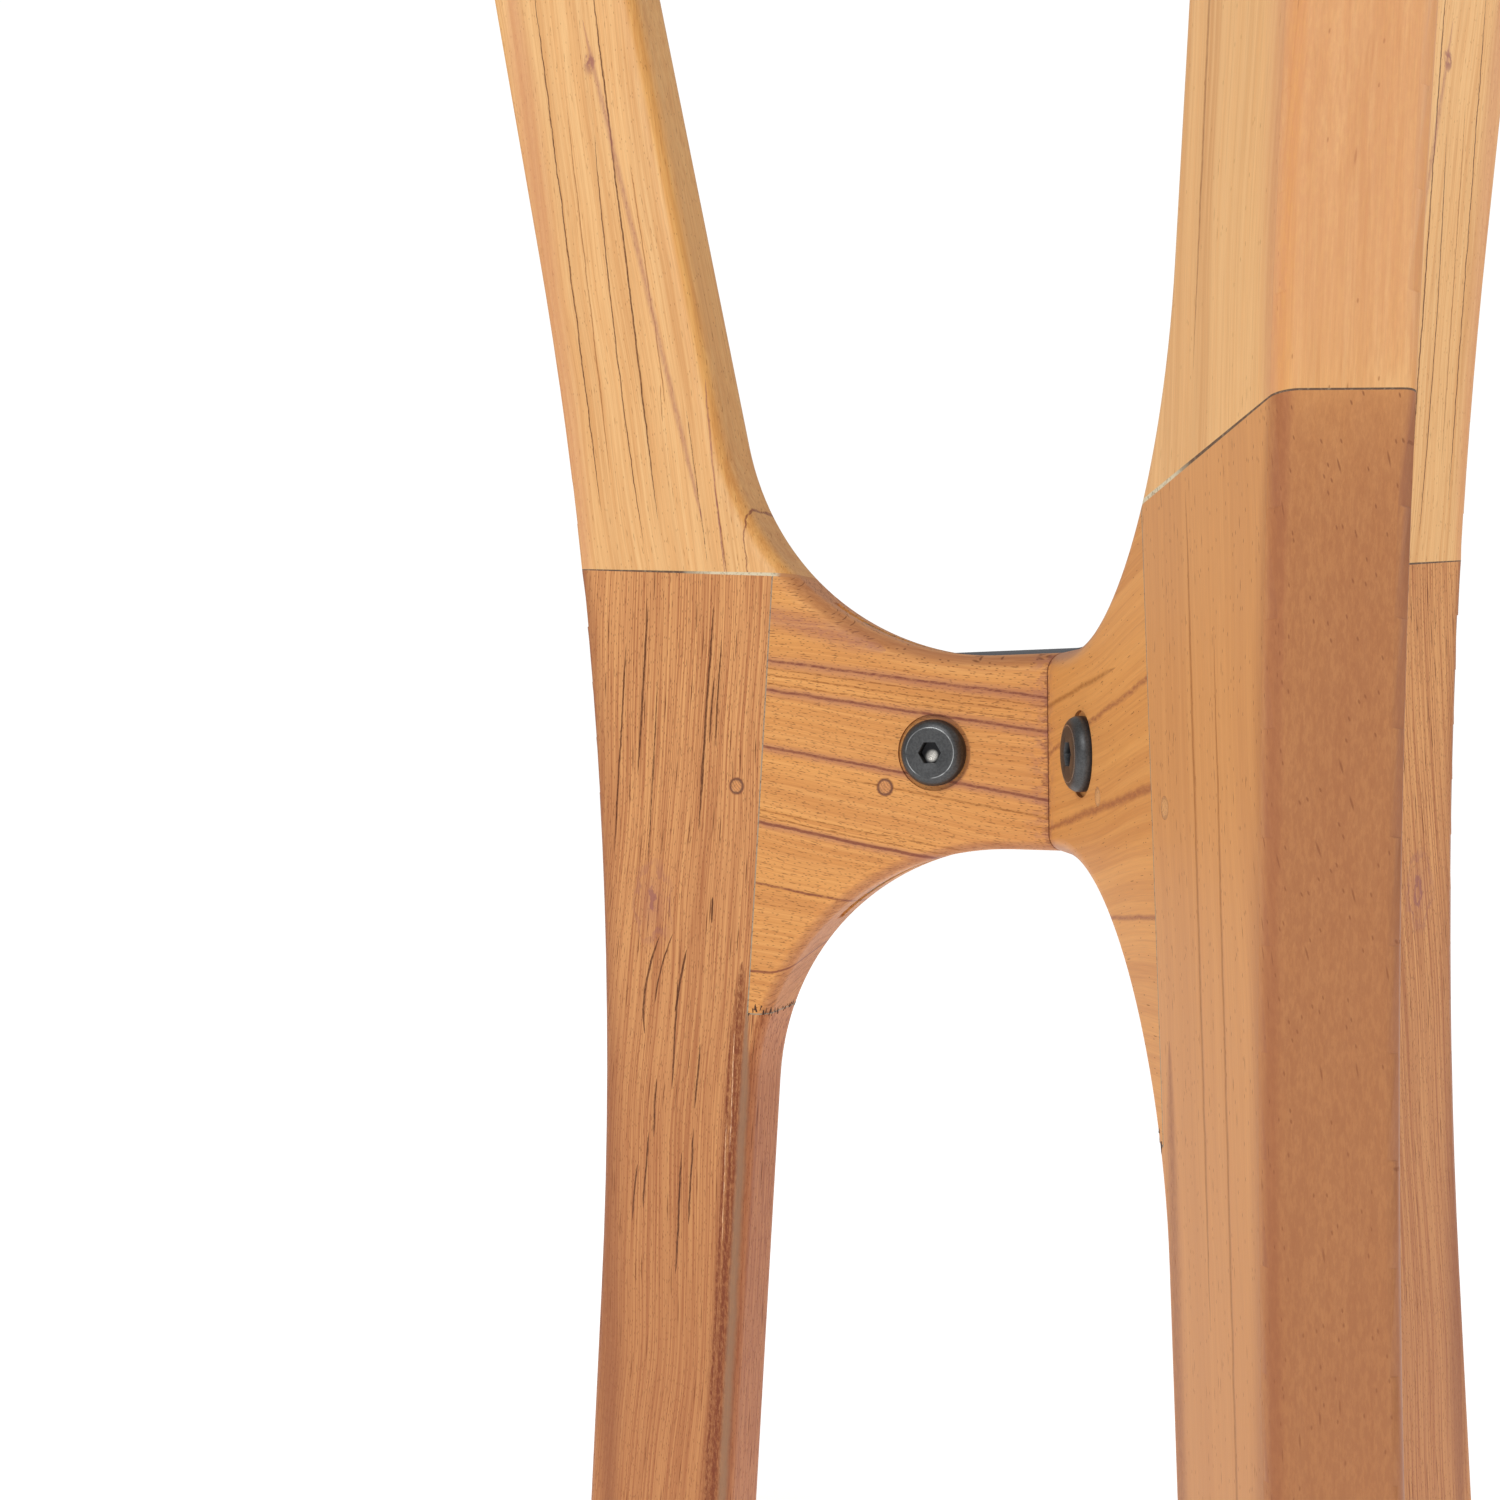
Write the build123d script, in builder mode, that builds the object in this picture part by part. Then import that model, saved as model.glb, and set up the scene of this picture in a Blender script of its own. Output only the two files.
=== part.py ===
from build123d import *
import os
from math import cos, radians, sin, sqrt, tan

os.makedirs("parts", exist_ok=True)

# Three-legged teak table base. Each leg is two boards butted end to end, with an
# arm block glued to its inner edge. The three arms are mitred together round a
# steel spider, whose wings sit in a saw kerf in each arm and are clamped by a
# connector bolt and its cap nut.
# Frame: millimetres, +Z up, origin on the axis of the base in the plane of the
# leg tops, so everything hangs below Z = 0 and the floor is at -base_height.
# Leg 1 points to -Y, and the others follow it at 120 degrees.

# --- Driving dimensions ------------------------------------------------------
base_height = 450.0           # floor to the leg tops
hub_height = 230.0            # floor to the axis of the connector bolts
leg_angles = (-90.0, 30.0, 150.0)
stock = 20.0                  # thickness of every board

waist_rise = 23.0             # top of an arm above the bolt axis
waist_drop = 23.0             # underside of an arm below the bolt axis
upper_arc_start = 18.3        # radius at which the arm starts to curve up
upper_arc_radius = 75.0
lower_arc_start = 15.3        # radius at which the arm starts to curve down
lower_arc_radius = 70.0

upper_lean_in = 11.8          # inner edge of the upper leg from upright
upper_lean_out = 10.8         # outer edge of the upper leg from upright
lower_lean_in = 4.5           # inner edge of the lower leg from upright
lower_lean_out = 4.3          # outer edge of the lower leg from upright
outer_waist = 131.0           # smallest radius of the outer edge
outer_waist_drop = 65.0       # that point below the bolt axis
outer_arc_radius = 1100.0

knee_radius = 80.4            # knee glue line, at the height of the bolt axis
knee_landing = 8.6            # width of the arm block under the upper leg
joint_slope = 5.3             # rise of the butt joint towards the outside
joint_gap_outer = 0.3         # filler in the butt joint, at the outer edge
joint_gap_taper = 0.55        # extra angle that opens the joint inwards
knee_gap = 0.35               # glue in the knee joint
arm_tip_drop = 67.0           # feathered tip of the arm block below the bolt axis
mitre_gap = 0.25              # between two arms at their mitre

round_upper = 5.0             # long edges of the upper curve
round_lower = 4.0             # long edges of the lower curve
round_outer = 3.0             # long edges of the outside
end_chamfer = 0.8             # leg tops and feet

wing_thickness = 3.0
wing_inset_knee = 21.1        # knee joint to the end of a steel wing
wing_proud = 1.2              # steel above the arm tops at the middle
wing_inset = 0.3              # steel below the curved wood
wing_corner = 2.0
kerf_play = 0.2               # each side of the wing
kerf_runout = 4.5             # empty saw kerf beyond the wing

head_diameter = 16.0
head_slope = 2.0              # width of the sloping side round the flat face
head_height = 3.6
head_rim = 1.7
head_bulge = 0.35             # crown of the sloping side
socket_width = 5.0            # hexagon across flats
socket_depth = 2.4
shank_diameter = 6.0
sleeve_diameter = 8.0
thread_play = 0.05
sleeve_gap = 5.4              # free length between sleeve and bolt head
nut_web = 3.0                 # solid metal under the cap nut's head seat
thread_runout = 1.4
bolt_play = 0.2
counterbore_play = 1.2        # round the head
counterbore_depth = 0.8

pin_diameter = 4.0
pin_play = 0.05
pin_inset = 12.8              # locating pin from the end of the wing
pin_spacing = 12.7            # connector bolt from the locating pin
leg_pin_inset = 7.6           # pin through the knee tenon, from the knee joint
pin_drop = 8.4                # both pins below the bolt axis

tenon_share = 0.4             # of the stock's thickness
tenon_width = 22.0
tenon_play = 0.1
tenon_end_play = 0.6
leg_tenon_length = 50.0
knee_tenon_in_arm = 13.0
knee_tenon_in_leg = 25.0

insert_diameter = 9.0         # threaded insert in each leg top
insert_length = 13.0
insert_thread = 6.0
insert_rim = 1.5              # width of the flange round the insert
insert_flange_height = 1.2
insert_play = 0.05

glide_inset = 1.5             # foot edge to the glide
glide_thickness = 4.0
glide_edge = 0.8
screw_diameter = 3.5
screw_head_diameter = 7.0
screw_head_height = 1.6
screw_head_edge = 0.5         # chamfer of the head
screw_recess_depth = 2.3
screw_recess_play = 0.7
screw_bore_play = 0.2
screw_reach = 14.0            # screw in the wood
screw_point = 2.0
screw_play = 0.05

# --- Worked-out places -------------------------------------------------------
floor = -base_height
hub_level = hub_height - base_height
leg_plane = Plane(origin=(0, 0, hub_level), x_dir=(1, 0, 0), z_dir=(0, -1, 0))
top_rise = base_height - hub_height
foot_rise = glide_thickness - hub_height
half_stock = stock / 2
past_axis = stock             # how far the blank runs past the axis
far = 2 * base_height         # larger than the leg in every direction
tolerance = 0.01              # for picking edges by their place
joint_run = knee_radius - knee_landing - upper_arc_start
joint_height = waist_rise + upper_arc_radius - sqrt(upper_arc_radius**2 - joint_run**2)
head_flat = head_diameter - 2 * head_slope
wing_end = knee_radius - wing_inset_knee
kerf_end = wing_end + kerf_runout
arm_pin_radius = wing_end - pin_inset
bolt_radius = arm_pin_radius - pin_spacing
leg_pin_radius = knee_radius + leg_pin_inset
leg_tenon_radius = (knee_radius + outer_waist) / 2
tenon_thickness = tenon_share * stock
insert_flange = insert_diameter + 2 * insert_rim
glide_diameter = stock - 2 * glide_inset


def inner_radius_above(rise):
    """Radius of the straight inner edge of the upper leg at a height."""
    end_rise = waist_rise + upper_arc_radius * (1 - sin(radians(upper_lean_in)))
    end_radius = upper_arc_start + upper_arc_radius * cos(radians(upper_lean_in))
    return end_radius + (rise - end_rise) * tan(radians(upper_lean_in))


def inner_radius_below(rise):
    """Radius of the straight inner edge of the lower leg at a height."""
    end_rise = -waist_drop - lower_arc_radius * (1 - sin(radians(lower_lean_in)))
    end_radius = lower_arc_start + lower_arc_radius * cos(radians(lower_lean_in))
    return end_radius + (end_rise - rise) * tan(radians(lower_lean_in))


def outer_radius(rise, lean):
    """Radius of a straight outer edge, above (lean > 0) or below (lean < 0)."""
    end_rise = outer_arc_radius * sin(radians(lean)) - outer_waist_drop
    end_radius = outer_waist + outer_arc_radius * (1 - cos(radians(lean)))
    return end_radius + (rise - end_rise) * tan(radians(lean))


def knee_line(rise, side=0):
    """Radius of the knee joint at a height; side -1 is the arm's face, +1 the leg's."""
    return knee_radius - rise * tan(radians(lower_lean_in)) + side * knee_gap / 2


def joint_line(radius):
    """Height of the top of the lower boards at a radius."""
    return joint_height + (radius - knee_radius) * tan(radians(joint_slope))


def filler_line(radius):
    """Height of the underside of the upper leg at a radius."""
    outer = outer_waist + joint_height * tan(radians(joint_slope))
    opening = (outer - radius) * tan(radians(joint_gap_taper))
    return joint_line(radius) + joint_gap_outer + opening


top_inner = inner_radius_above(top_rise)
top_outer = outer_radius(top_rise, upper_lean_out)
foot_inner = inner_radius_below(foot_rise)
foot_outer = outer_radius(foot_rise, -lower_lean_out)
top_centre = (top_inner + top_outer) / 2
foot_centre = (foot_inner + foot_outer) / 2
head_seat = half_stock - counterbore_depth
kerf_width = wing_thickness + 2 * kerf_play


# --- Leg blank: one leg with its arm, before it is parted into boards --------
def long_edges(low, high, outside):
    """The blank's edges along its two faces, between two heights, inside or outside."""
    return leg_blank.edges().filter_by(
        lambda edge: abs(abs((edge @ 0.5).Y) - half_stock) < tolerance
        and low + tolerance < (edge @ 0.5).Z - hub_level < high - tolerance
        and (edge @ 0.5).X > tolerance - past_axis
        and ((edge @ 0.5).X > outer_waist - tolerance) == outside
    )


with BuildPart() as leg_blank:
    with BuildSketch(leg_plane):
        with BuildLine():
            Line((-past_axis, waist_rise), (upper_arc_start, waist_rise))
            upper_curve = CenterArc(
                (upper_arc_start, waist_rise + upper_arc_radius),
                upper_arc_radius, -90, 90 - upper_lean_in,
            )
            outer_curve = CenterArc(
                (outer_waist + outer_arc_radius, -outer_waist_drop),
                outer_arc_radius, 180 - upper_lean_out, upper_lean_out + lower_lean_out,
            )
            lower_curve = CenterArc(
                (lower_arc_start, -waist_drop - lower_arc_radius),
                lower_arc_radius, lower_lean_in, 90 - lower_lean_in,
            )
            Polyline(
                upper_curve @ 1, (top_inner, top_rise),
                (top_outer, top_rise), outer_curve @ 0,
            )
            Polyline(
                outer_curve @ 1, (foot_outer, foot_rise),
                (foot_inner, foot_rise), lower_curve @ 0,
            )
            Polyline(
                (lower_arc_start, -waist_drop), (-past_axis, -waist_drop),
                (-past_axis, waist_rise),
            )
        make_face()
    extrude(amount=half_stock, both=True)
    fillet(long_edges(0, top_rise, outside=False), radius=round_upper)
    fillet(long_edges(foot_rise, 0, outside=False), radius=round_lower)
    fillet(long_edges(foot_rise, top_rise, outside=True), radius=round_outer)
    chamfer(leg_blank.faces().sort_by(Axis.Z)[-1].edges(), length=end_chamfer)
    chamfer(leg_blank.faces().sort_by(Axis.Z)[0].edges(), length=end_chamfer)


# --- Joints between the boards ----------------------------------------------
leg_tenon_plane = Plane(
    origin=(leg_tenon_radius, 0, hub_level + joint_line(leg_tenon_radius)),
    x_dir=(cos(radians(joint_slope)), 0, sin(radians(joint_slope))),
    z_dir=(-sin(radians(joint_slope)), 0, cos(radians(joint_slope))),
)
knee_tenon_plane = Plane(
    origin=(knee_line(-pin_drop), 0, hub_level - pin_drop),
    x_dir=(-sin(radians(lower_lean_in)), 0, cos(radians(lower_lean_in))),
    z_dir=(cos(radians(lower_lean_in)), 0, sin(radians(lower_lean_in))),
)


def tenon_sketch(plane, play):
    """Round-edged tenon section on a plane, grown all round by a play."""
    with BuildSketch(plane) as section:
        SlotOverall(tenon_width + 2 * play, tenon_thickness + 2 * play)
    return section.sketch


def cut_leg_mortise():
    """Mortise across the butt joint, in the board being built."""
    extrude(
        tenon_sketch(leg_tenon_plane, tenon_play),
        amount=leg_tenon_length / 2 + tenon_end_play, both=True, mode=Mode.SUBTRACT,
    )


def cut_knee_mortise():
    """Mortise across the knee joint, in the board being built."""
    section = tenon_sketch(knee_tenon_plane, tenon_play)
    extrude(section, amount=knee_tenon_in_leg + tenon_end_play, mode=Mode.SUBTRACT)
    extrude(section, amount=-knee_tenon_in_arm - tenon_end_play, mode=Mode.SUBTRACT)


def cut_across(radius, rise, diameter):
    """Round hole through the full thickness of the piece being built."""
    with BuildSketch(leg_plane) as hole:
        with Locations((radius, rise)):
            Circle(diameter / 2)
    extrude(hole.sketch, amount=stock, both=True, mode=Mode.SUBTRACT)


# --- Upper leg ---------------------------------------------------------------
with BuildPart() as upper_leg:
    add(leg_blank.part)
    with BuildSketch(leg_plane):
        with BuildLine():
            Polyline(
                (0, filler_line(0)), (far, filler_line(far)), (far, far), (0, far),
                close=True,
            )
        make_face()
    extrude(amount=stock, both=True, mode=Mode.INTERSECT)
    cut_leg_mortise()
    with Locations((top_centre, 0, 0)):
        CounterBoreHole(
            radius=insert_diameter / 2 + insert_play,
            counter_bore_radius=insert_flange / 2 + insert_play,
            counter_bore_depth=insert_flange_height,
            depth=insert_length,
        )

# --- Lower leg ---------------------------------------------------------------
with BuildPart() as lower_leg:
    add(leg_blank.part)
    with BuildSketch(leg_plane):
        with BuildLine():
            Polyline(
                (knee_line(joint_line(knee_radius), 1), joint_line(knee_line(joint_height, 1))),
                (far, joint_line(far)), (far, -far), (0, -far),
                (0, -arm_tip_drop - knee_gap),
                (knee_line(-arm_tip_drop, 1), -arm_tip_drop - knee_gap),
                close=True,
            )
        make_face()
    extrude(amount=stock, both=True, mode=Mode.INTERSECT)
    cut_leg_mortise()
    cut_knee_mortise()
    cut_across(leg_pin_radius, -pin_drop, pin_diameter + 2 * pin_play)
    with Locations(Plane(origin=(foot_centre, 0, floor + glide_thickness), z_dir=(0, 0, -1))):
        Hole(radius=screw_diameter / 2 + screw_play, depth=screw_reach + screw_play)

# --- Arm block ---------------------------------------------------------------
with BuildPart() as arm_block:
    add(leg_blank.part)
    with BuildSketch(leg_plane):
        with BuildLine():
            Polyline(
                (-past_axis, -arm_tip_drop), (knee_line(-arm_tip_drop, -1), -arm_tip_drop),
                (knee_line(joint_height, -1), joint_line(knee_line(joint_height, -1))),
                (-past_axis, joint_line(-past_axis)),
                close=True,
            )
        make_face()
    extrude(amount=stock, both=True, mode=Mode.INTERSECT)
    mitre_tip = mitre_gap / 2 / sin(radians(60))
    with BuildSketch(Plane.XY.offset(floor)):
        with BuildLine():
            Polyline(
                (mitre_tip, 0), (mitre_tip + far, far * tan(radians(60))),
                (mitre_tip + far, -far * tan(radians(60))),
                close=True,
            )
        make_face()
    extrude(amount=base_height, mode=Mode.INTERSECT)
    with BuildSketch(leg_plane):
        Rectangle(2 * kerf_end, far)
    extrude(amount=kerf_width / 2, both=True, mode=Mode.SUBTRACT)
    for side in (-1, 1):
        with Locations(Plane(origin=(bolt_radius, side * half_stock, hub_level), z_dir=(0, side, 0))):
            CounterBoreHole(
                radius=sleeve_diameter / 2 + bolt_play,
                counter_bore_radius=head_diameter / 2 + counterbore_play,
                counter_bore_depth=counterbore_depth,
                depth=stock,
            )
    cut_knee_mortise()
    cut_across(arm_pin_radius, -pin_drop, pin_diameter + 2 * pin_play)

# --- Filler in the butt joint and glue in the knee joint ---------------------
filler_end = outer_waist + stock
with BuildPart() as joint_filler:
    add(leg_blank.part)
    with BuildSketch(leg_plane):
        with BuildLine():
            Polyline(
                (0, joint_line(0)), (filler_end, joint_line(filler_end)),
                (filler_end, filler_line(filler_end)), (0, filler_line(0)),
                close=True,
            )
        make_face()
    extrude(amount=stock, both=True, mode=Mode.INTERSECT)
    cut_leg_mortise()

with BuildPart() as knee_glue:
    add(leg_blank.part)
    with BuildSketch(leg_plane):
        with BuildLine():
            Polyline(
                (knee_line(joint_height, -1), joint_line(knee_line(joint_height, -1))),
                (knee_line(joint_height, 1), joint_line(knee_line(joint_height, 1))),
                (knee_line(-arm_tip_drop, 1), -arm_tip_drop - knee_gap),
                (0, -arm_tip_drop - knee_gap), (0, -arm_tip_drop),
                (knee_line(-arm_tip_drop, -1), -arm_tip_drop),
                close=True,
            )
        make_face()
    extrude(amount=stock, both=True, mode=Mode.INTERSECT)
    cut_knee_mortise()

# --- Hidden tenons and visible pins -----------------------------------------
with BuildPart() as leg_tenon:
    extrude(tenon_sketch(leg_tenon_plane, 0), amount=leg_tenon_length / 2, both=True)

with BuildPart() as knee_tenon:
    extrude(tenon_sketch(knee_tenon_plane, 0), amount=knee_tenon_in_leg)
    extrude(tenon_sketch(knee_tenon_plane, 0), amount=-knee_tenon_in_arm)
    cut_across(leg_pin_radius, -pin_drop, pin_diameter + 2 * pin_play)


def wood_pin(radius):
    """Round wood pin through the full thickness of a board."""
    with BuildPart() as pin:
        with BuildSketch(leg_plane) as section:
            with Locations((radius, -pin_drop)):
                Circle(pin_diameter / 2)
        extrude(section.sketch, amount=half_stock, both=True)
    return pin


arm_pin = wood_pin(arm_pin_radius)
leg_pin = wood_pin(leg_pin_radius)


# --- Connector bolt and cap nut, with matching heads -------------------------
def fastener_plane(side):
    """Plane with x across and y along the bolt axis, outwards on that side."""
    return Plane(origin=(bolt_radius, 0, hub_level), x_dir=(1, 0, 0), z_dir=(0, 0, side))


def head_lines(start):
    """Half outline of a head, from a point on its seat to its flat centre."""
    slope_foot = Vector(head_diameter / 2, head_seat + head_rim)
    slope_top = Vector(head_flat / 2, head_seat + head_height)
    bulge = (slope_foot + slope_top) / 2 + Vector(head_bulge, head_bulge)
    Polyline(start, (head_diameter / 2, head_seat), slope_foot)
    ThreePointArc(slope_foot, bulge, slope_top)
    Line(slope_top, (0, head_seat + head_height))


def cut_socket(side):
    """Hexagon socket with a drill point, in the head being built."""
    face = Plane(
        origin=(bolt_radius, side * (head_seat + head_height), hub_level),
        x_dir=(1, 0, 0), z_dir=(0, side, 0),
    )
    with BuildSketch(face) as hexagon:
        RegularPolygon(radius=socket_width / 2, side_count=6, major_radius=False)
    extrude(hexagon.sketch, amount=-socket_depth, mode=Mode.SUBTRACT)
    socket_floor = head_seat + head_height - socket_depth
    with BuildSketch(fastener_plane(side)) as drill_point:
        with BuildLine():
            Polyline(
                (0, socket_floor), (socket_width / 2, socket_floor),
                (0, socket_floor - socket_width / 4),
                close=True,
            )
        make_face()
    revolve(
        drill_point.sketch, axis=Axis((bolt_radius, 0, hub_level), (0, 1, 0)),
        mode=Mode.SUBTRACT,
    )


with BuildPart() as connector_bolt:
    shank_end = nut_web + thread_runout - head_seat
    with BuildSketch(fastener_plane(-1)):
        with BuildLine():
            Polyline(
                (0, head_seat + head_height), (0, shank_end), (shank_diameter / 2, shank_end),
                (shank_diameter / 2, head_seat),
            )
            head_lines((shank_diameter / 2, head_seat))
        make_face()
    revolve(axis=Axis((bolt_radius, 0, hub_level), (0, 1, 0)))
    cut_socket(-1)

with BuildPart() as cap_nut:
    thread_radius = shank_diameter / 2 + thread_play
    sleeve_end = sleeve_gap - head_seat
    with BuildSketch(fastener_plane(1)):
        with BuildLine():
            Polyline(
                (0, head_seat + head_height), (0, head_seat - nut_web),
                (thread_radius, head_seat - nut_web), (thread_radius, sleeve_end),
                (sleeve_diameter / 2, sleeve_end), (sleeve_diameter / 2, head_seat),
            )
            head_lines((sleeve_diameter / 2, head_seat))
        make_face()
    revolve(axis=Axis((bolt_radius, 0, hub_level), (0, 1, 0)))
    cut_socket(1)

# --- Threaded insert, foot glide and its screw -------------------------------
with BuildPart() as top_insert:
    with BuildSketch(Plane.XY):
        with Locations((top_centre, 0)):
            Circle(insert_flange / 2)
    extrude(amount=-insert_flange_height)
    with BuildSketch(Plane.XY.offset(-insert_flange_height)):
        with Locations((top_centre, 0)):
            Circle(insert_diameter / 2)
    extrude(amount=insert_flange_height - insert_length)
    with Locations((top_centre, 0, 0)):
        Hole(radius=insert_thread / 2)

with BuildPart() as foot_glide:
    with BuildSketch(Plane.XY.offset(floor)):
        with Locations((foot_centre, 0)):
            Circle(glide_diameter / 2)
    extrude(amount=glide_thickness)
    chamfer(foot_glide.faces().sort_by(Axis.Z)[0].edges(), length=glide_edge)
    with Locations(Plane(origin=(foot_centre, 0, floor), z_dir=(0, 0, -1))):
        CounterBoreHole(
            radius=screw_diameter / 2 + screw_bore_play,
            counter_bore_radius=screw_head_diameter / 2 + screw_recess_play,
            counter_bore_depth=screw_recess_depth,
        )

with BuildPart() as glide_screw:
    with BuildSketch(Plane(origin=(foot_centre, 0, floor), x_dir=(1, 0, 0), z_dir=(0, -1, 0))):
        screw_radius = screw_diameter / 2
        head_radius = screw_head_diameter / 2
        head_face = screw_recess_depth - screw_head_height
        with BuildLine():
            Polyline(
                (0, head_face), (head_radius - screw_head_edge, head_face),
                (head_radius, head_face + screw_head_edge), (head_radius, screw_recess_depth),
                (screw_radius, screw_recess_depth),
                (screw_radius, glide_thickness + screw_reach - screw_point),
                (0, glide_thickness + screw_reach),
                close=True,
            )
        make_face()
    revolve(axis=Axis((foot_centre, 0, 0), (0, 0, 1)))

# --- Steel spider ------------------------------------------------------------
upper_reach = upper_arc_radius + wing_inset
lower_reach = lower_arc_radius + wing_inset
upper_centre = waist_rise + upper_arc_radius
lower_centre = -waist_drop - lower_arc_radius
flat_end = upper_arc_start + sqrt(upper_reach**2 - (upper_arc_radius - wing_proud) ** 2)


def upper_edge(radius):
    """Point on a wing's curved upper edge."""
    return (radius, upper_centre - sqrt(upper_reach**2 - (radius - upper_arc_start) ** 2))


def lower_edge(radius):
    """Point on a wing's curved lower edge."""
    return (radius, lower_centre + sqrt(lower_reach**2 - (radius - lower_arc_start) ** 2))


with BuildPart() as wing:
    with BuildSketch(leg_plane):
        with BuildLine():
            Line((0, waist_rise + wing_proud), (flat_end, waist_rise + wing_proud))
            ThreePointArc(
                upper_edge(flat_end), upper_edge((flat_end + wing_end) / 2), upper_edge(wing_end),
            )
            Line(upper_edge(wing_end), lower_edge(wing_end))
            ThreePointArc(
                lower_edge(wing_end), lower_edge((lower_arc_start + wing_end) / 2),
                lower_edge(lower_arc_start),
            )
            Polyline(
                lower_edge(lower_arc_start), (0, wing_inset - waist_drop),
                (0, waist_rise + wing_proud),
            )
        make_face()
    extrude(amount=wing_thickness / 2, both=True)
    fillet(wing.edges().filter_by(Axis.Y).group_by(Axis.X)[-1], radius=wing_corner)
    cut_across(bolt_radius, 0, sleeve_diameter + 2 * bolt_play)
    cut_across(arm_pin_radius, -pin_drop, pin_diameter + 2 * pin_play)

with BuildPart() as hub_spider:
    for angle in leg_angles:
        add(wing.part, rotation=(0, 0, angle))

# --- Write the pieces --------------------------------------------------------
hub_spider.part.label = "hub_spider"
export_step(hub_spider.part, "parts/hub_spider.step")

leg_pieces = {
    "upper_leg": upper_leg,
    "lower_leg": lower_leg,
    "arm_block": arm_block,
    "joint_filler": joint_filler,
    "knee_glue": knee_glue,
    "leg_tenon": leg_tenon,
    "knee_tenon": knee_tenon,
    "arm_pin": arm_pin,
    "leg_pin": leg_pin,
    "connector_bolt": connector_bolt,
    "cap_nut": cap_nut,
    "top_insert": top_insert,
    "foot_glide": foot_glide,
    "glide_screw": glide_screw,
}
for number, angle in enumerate(leg_angles, start=1):
    for name, piece in leg_pieces.items():
        with BuildPart() as placed:
            add(piece.part, rotation=(0, 0, angle))
        placed.part.label = f"{name}_{number}"
        export_step(placed.part, f"parts/{name}_{number}.step")
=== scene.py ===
"""Looks of the teak tripod base: board by board teak, dark steel hub, fittings, studio and camera."""

import logging
import math
import random
from dataclasses import dataclass, replace
from enum import Enum

import bpy
from mathutils import Matrix, Vector


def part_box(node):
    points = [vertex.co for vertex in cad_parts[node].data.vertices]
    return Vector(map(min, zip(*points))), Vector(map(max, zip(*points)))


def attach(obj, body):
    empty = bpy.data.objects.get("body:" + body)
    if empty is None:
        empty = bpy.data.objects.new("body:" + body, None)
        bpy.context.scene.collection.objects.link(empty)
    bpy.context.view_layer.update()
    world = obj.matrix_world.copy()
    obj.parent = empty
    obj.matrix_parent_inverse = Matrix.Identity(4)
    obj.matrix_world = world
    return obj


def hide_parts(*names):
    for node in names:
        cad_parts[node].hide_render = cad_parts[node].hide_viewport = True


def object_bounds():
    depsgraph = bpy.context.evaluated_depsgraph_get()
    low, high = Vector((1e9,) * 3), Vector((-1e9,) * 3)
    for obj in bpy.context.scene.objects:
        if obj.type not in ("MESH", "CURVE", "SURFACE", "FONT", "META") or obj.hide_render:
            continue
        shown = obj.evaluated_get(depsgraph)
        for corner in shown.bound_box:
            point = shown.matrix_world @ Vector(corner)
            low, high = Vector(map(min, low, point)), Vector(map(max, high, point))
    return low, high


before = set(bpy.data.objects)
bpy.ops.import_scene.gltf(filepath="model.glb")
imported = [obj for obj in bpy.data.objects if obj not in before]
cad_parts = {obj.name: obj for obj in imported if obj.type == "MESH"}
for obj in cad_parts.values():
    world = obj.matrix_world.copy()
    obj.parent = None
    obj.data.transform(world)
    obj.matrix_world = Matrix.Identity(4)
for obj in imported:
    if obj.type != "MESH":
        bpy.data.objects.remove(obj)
CAD_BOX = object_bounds()

LOG = logging.getLogger("tripod")
MM = 0.001
LEG_ANGLES = {1: -90.0, 2: 30.0, 3: 150.0}
BOLT_LEVEL = -0.220             # height of the connector bolts
Colour = tuple[float, float, float]
Outline = list[tuple[float, float]]
Socket = bpy.types.NodeSocket
Sockets = bpy.types.bpy_prop_collection
Piece = bpy.types.Object
Material = bpy.types.Material


def srgb(red: int, green: int, blue: int) -> Colour:
    """Linear colour of an ordinary 0-255 screen colour.

    Args:
        red, green, blue: the screen colour's three parts.

    Returns:
        The linear colour, each part from 0 to 1.
    """
    def linear(part: int) -> float:
        """Linear value of one screen part."""
        share = part / 255
        return share / 12.92 if share <= 0.04045 else ((share + 0.055) / 1.055) ** 2.4

    return linear(red), linear(green), linear(blue)


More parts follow.
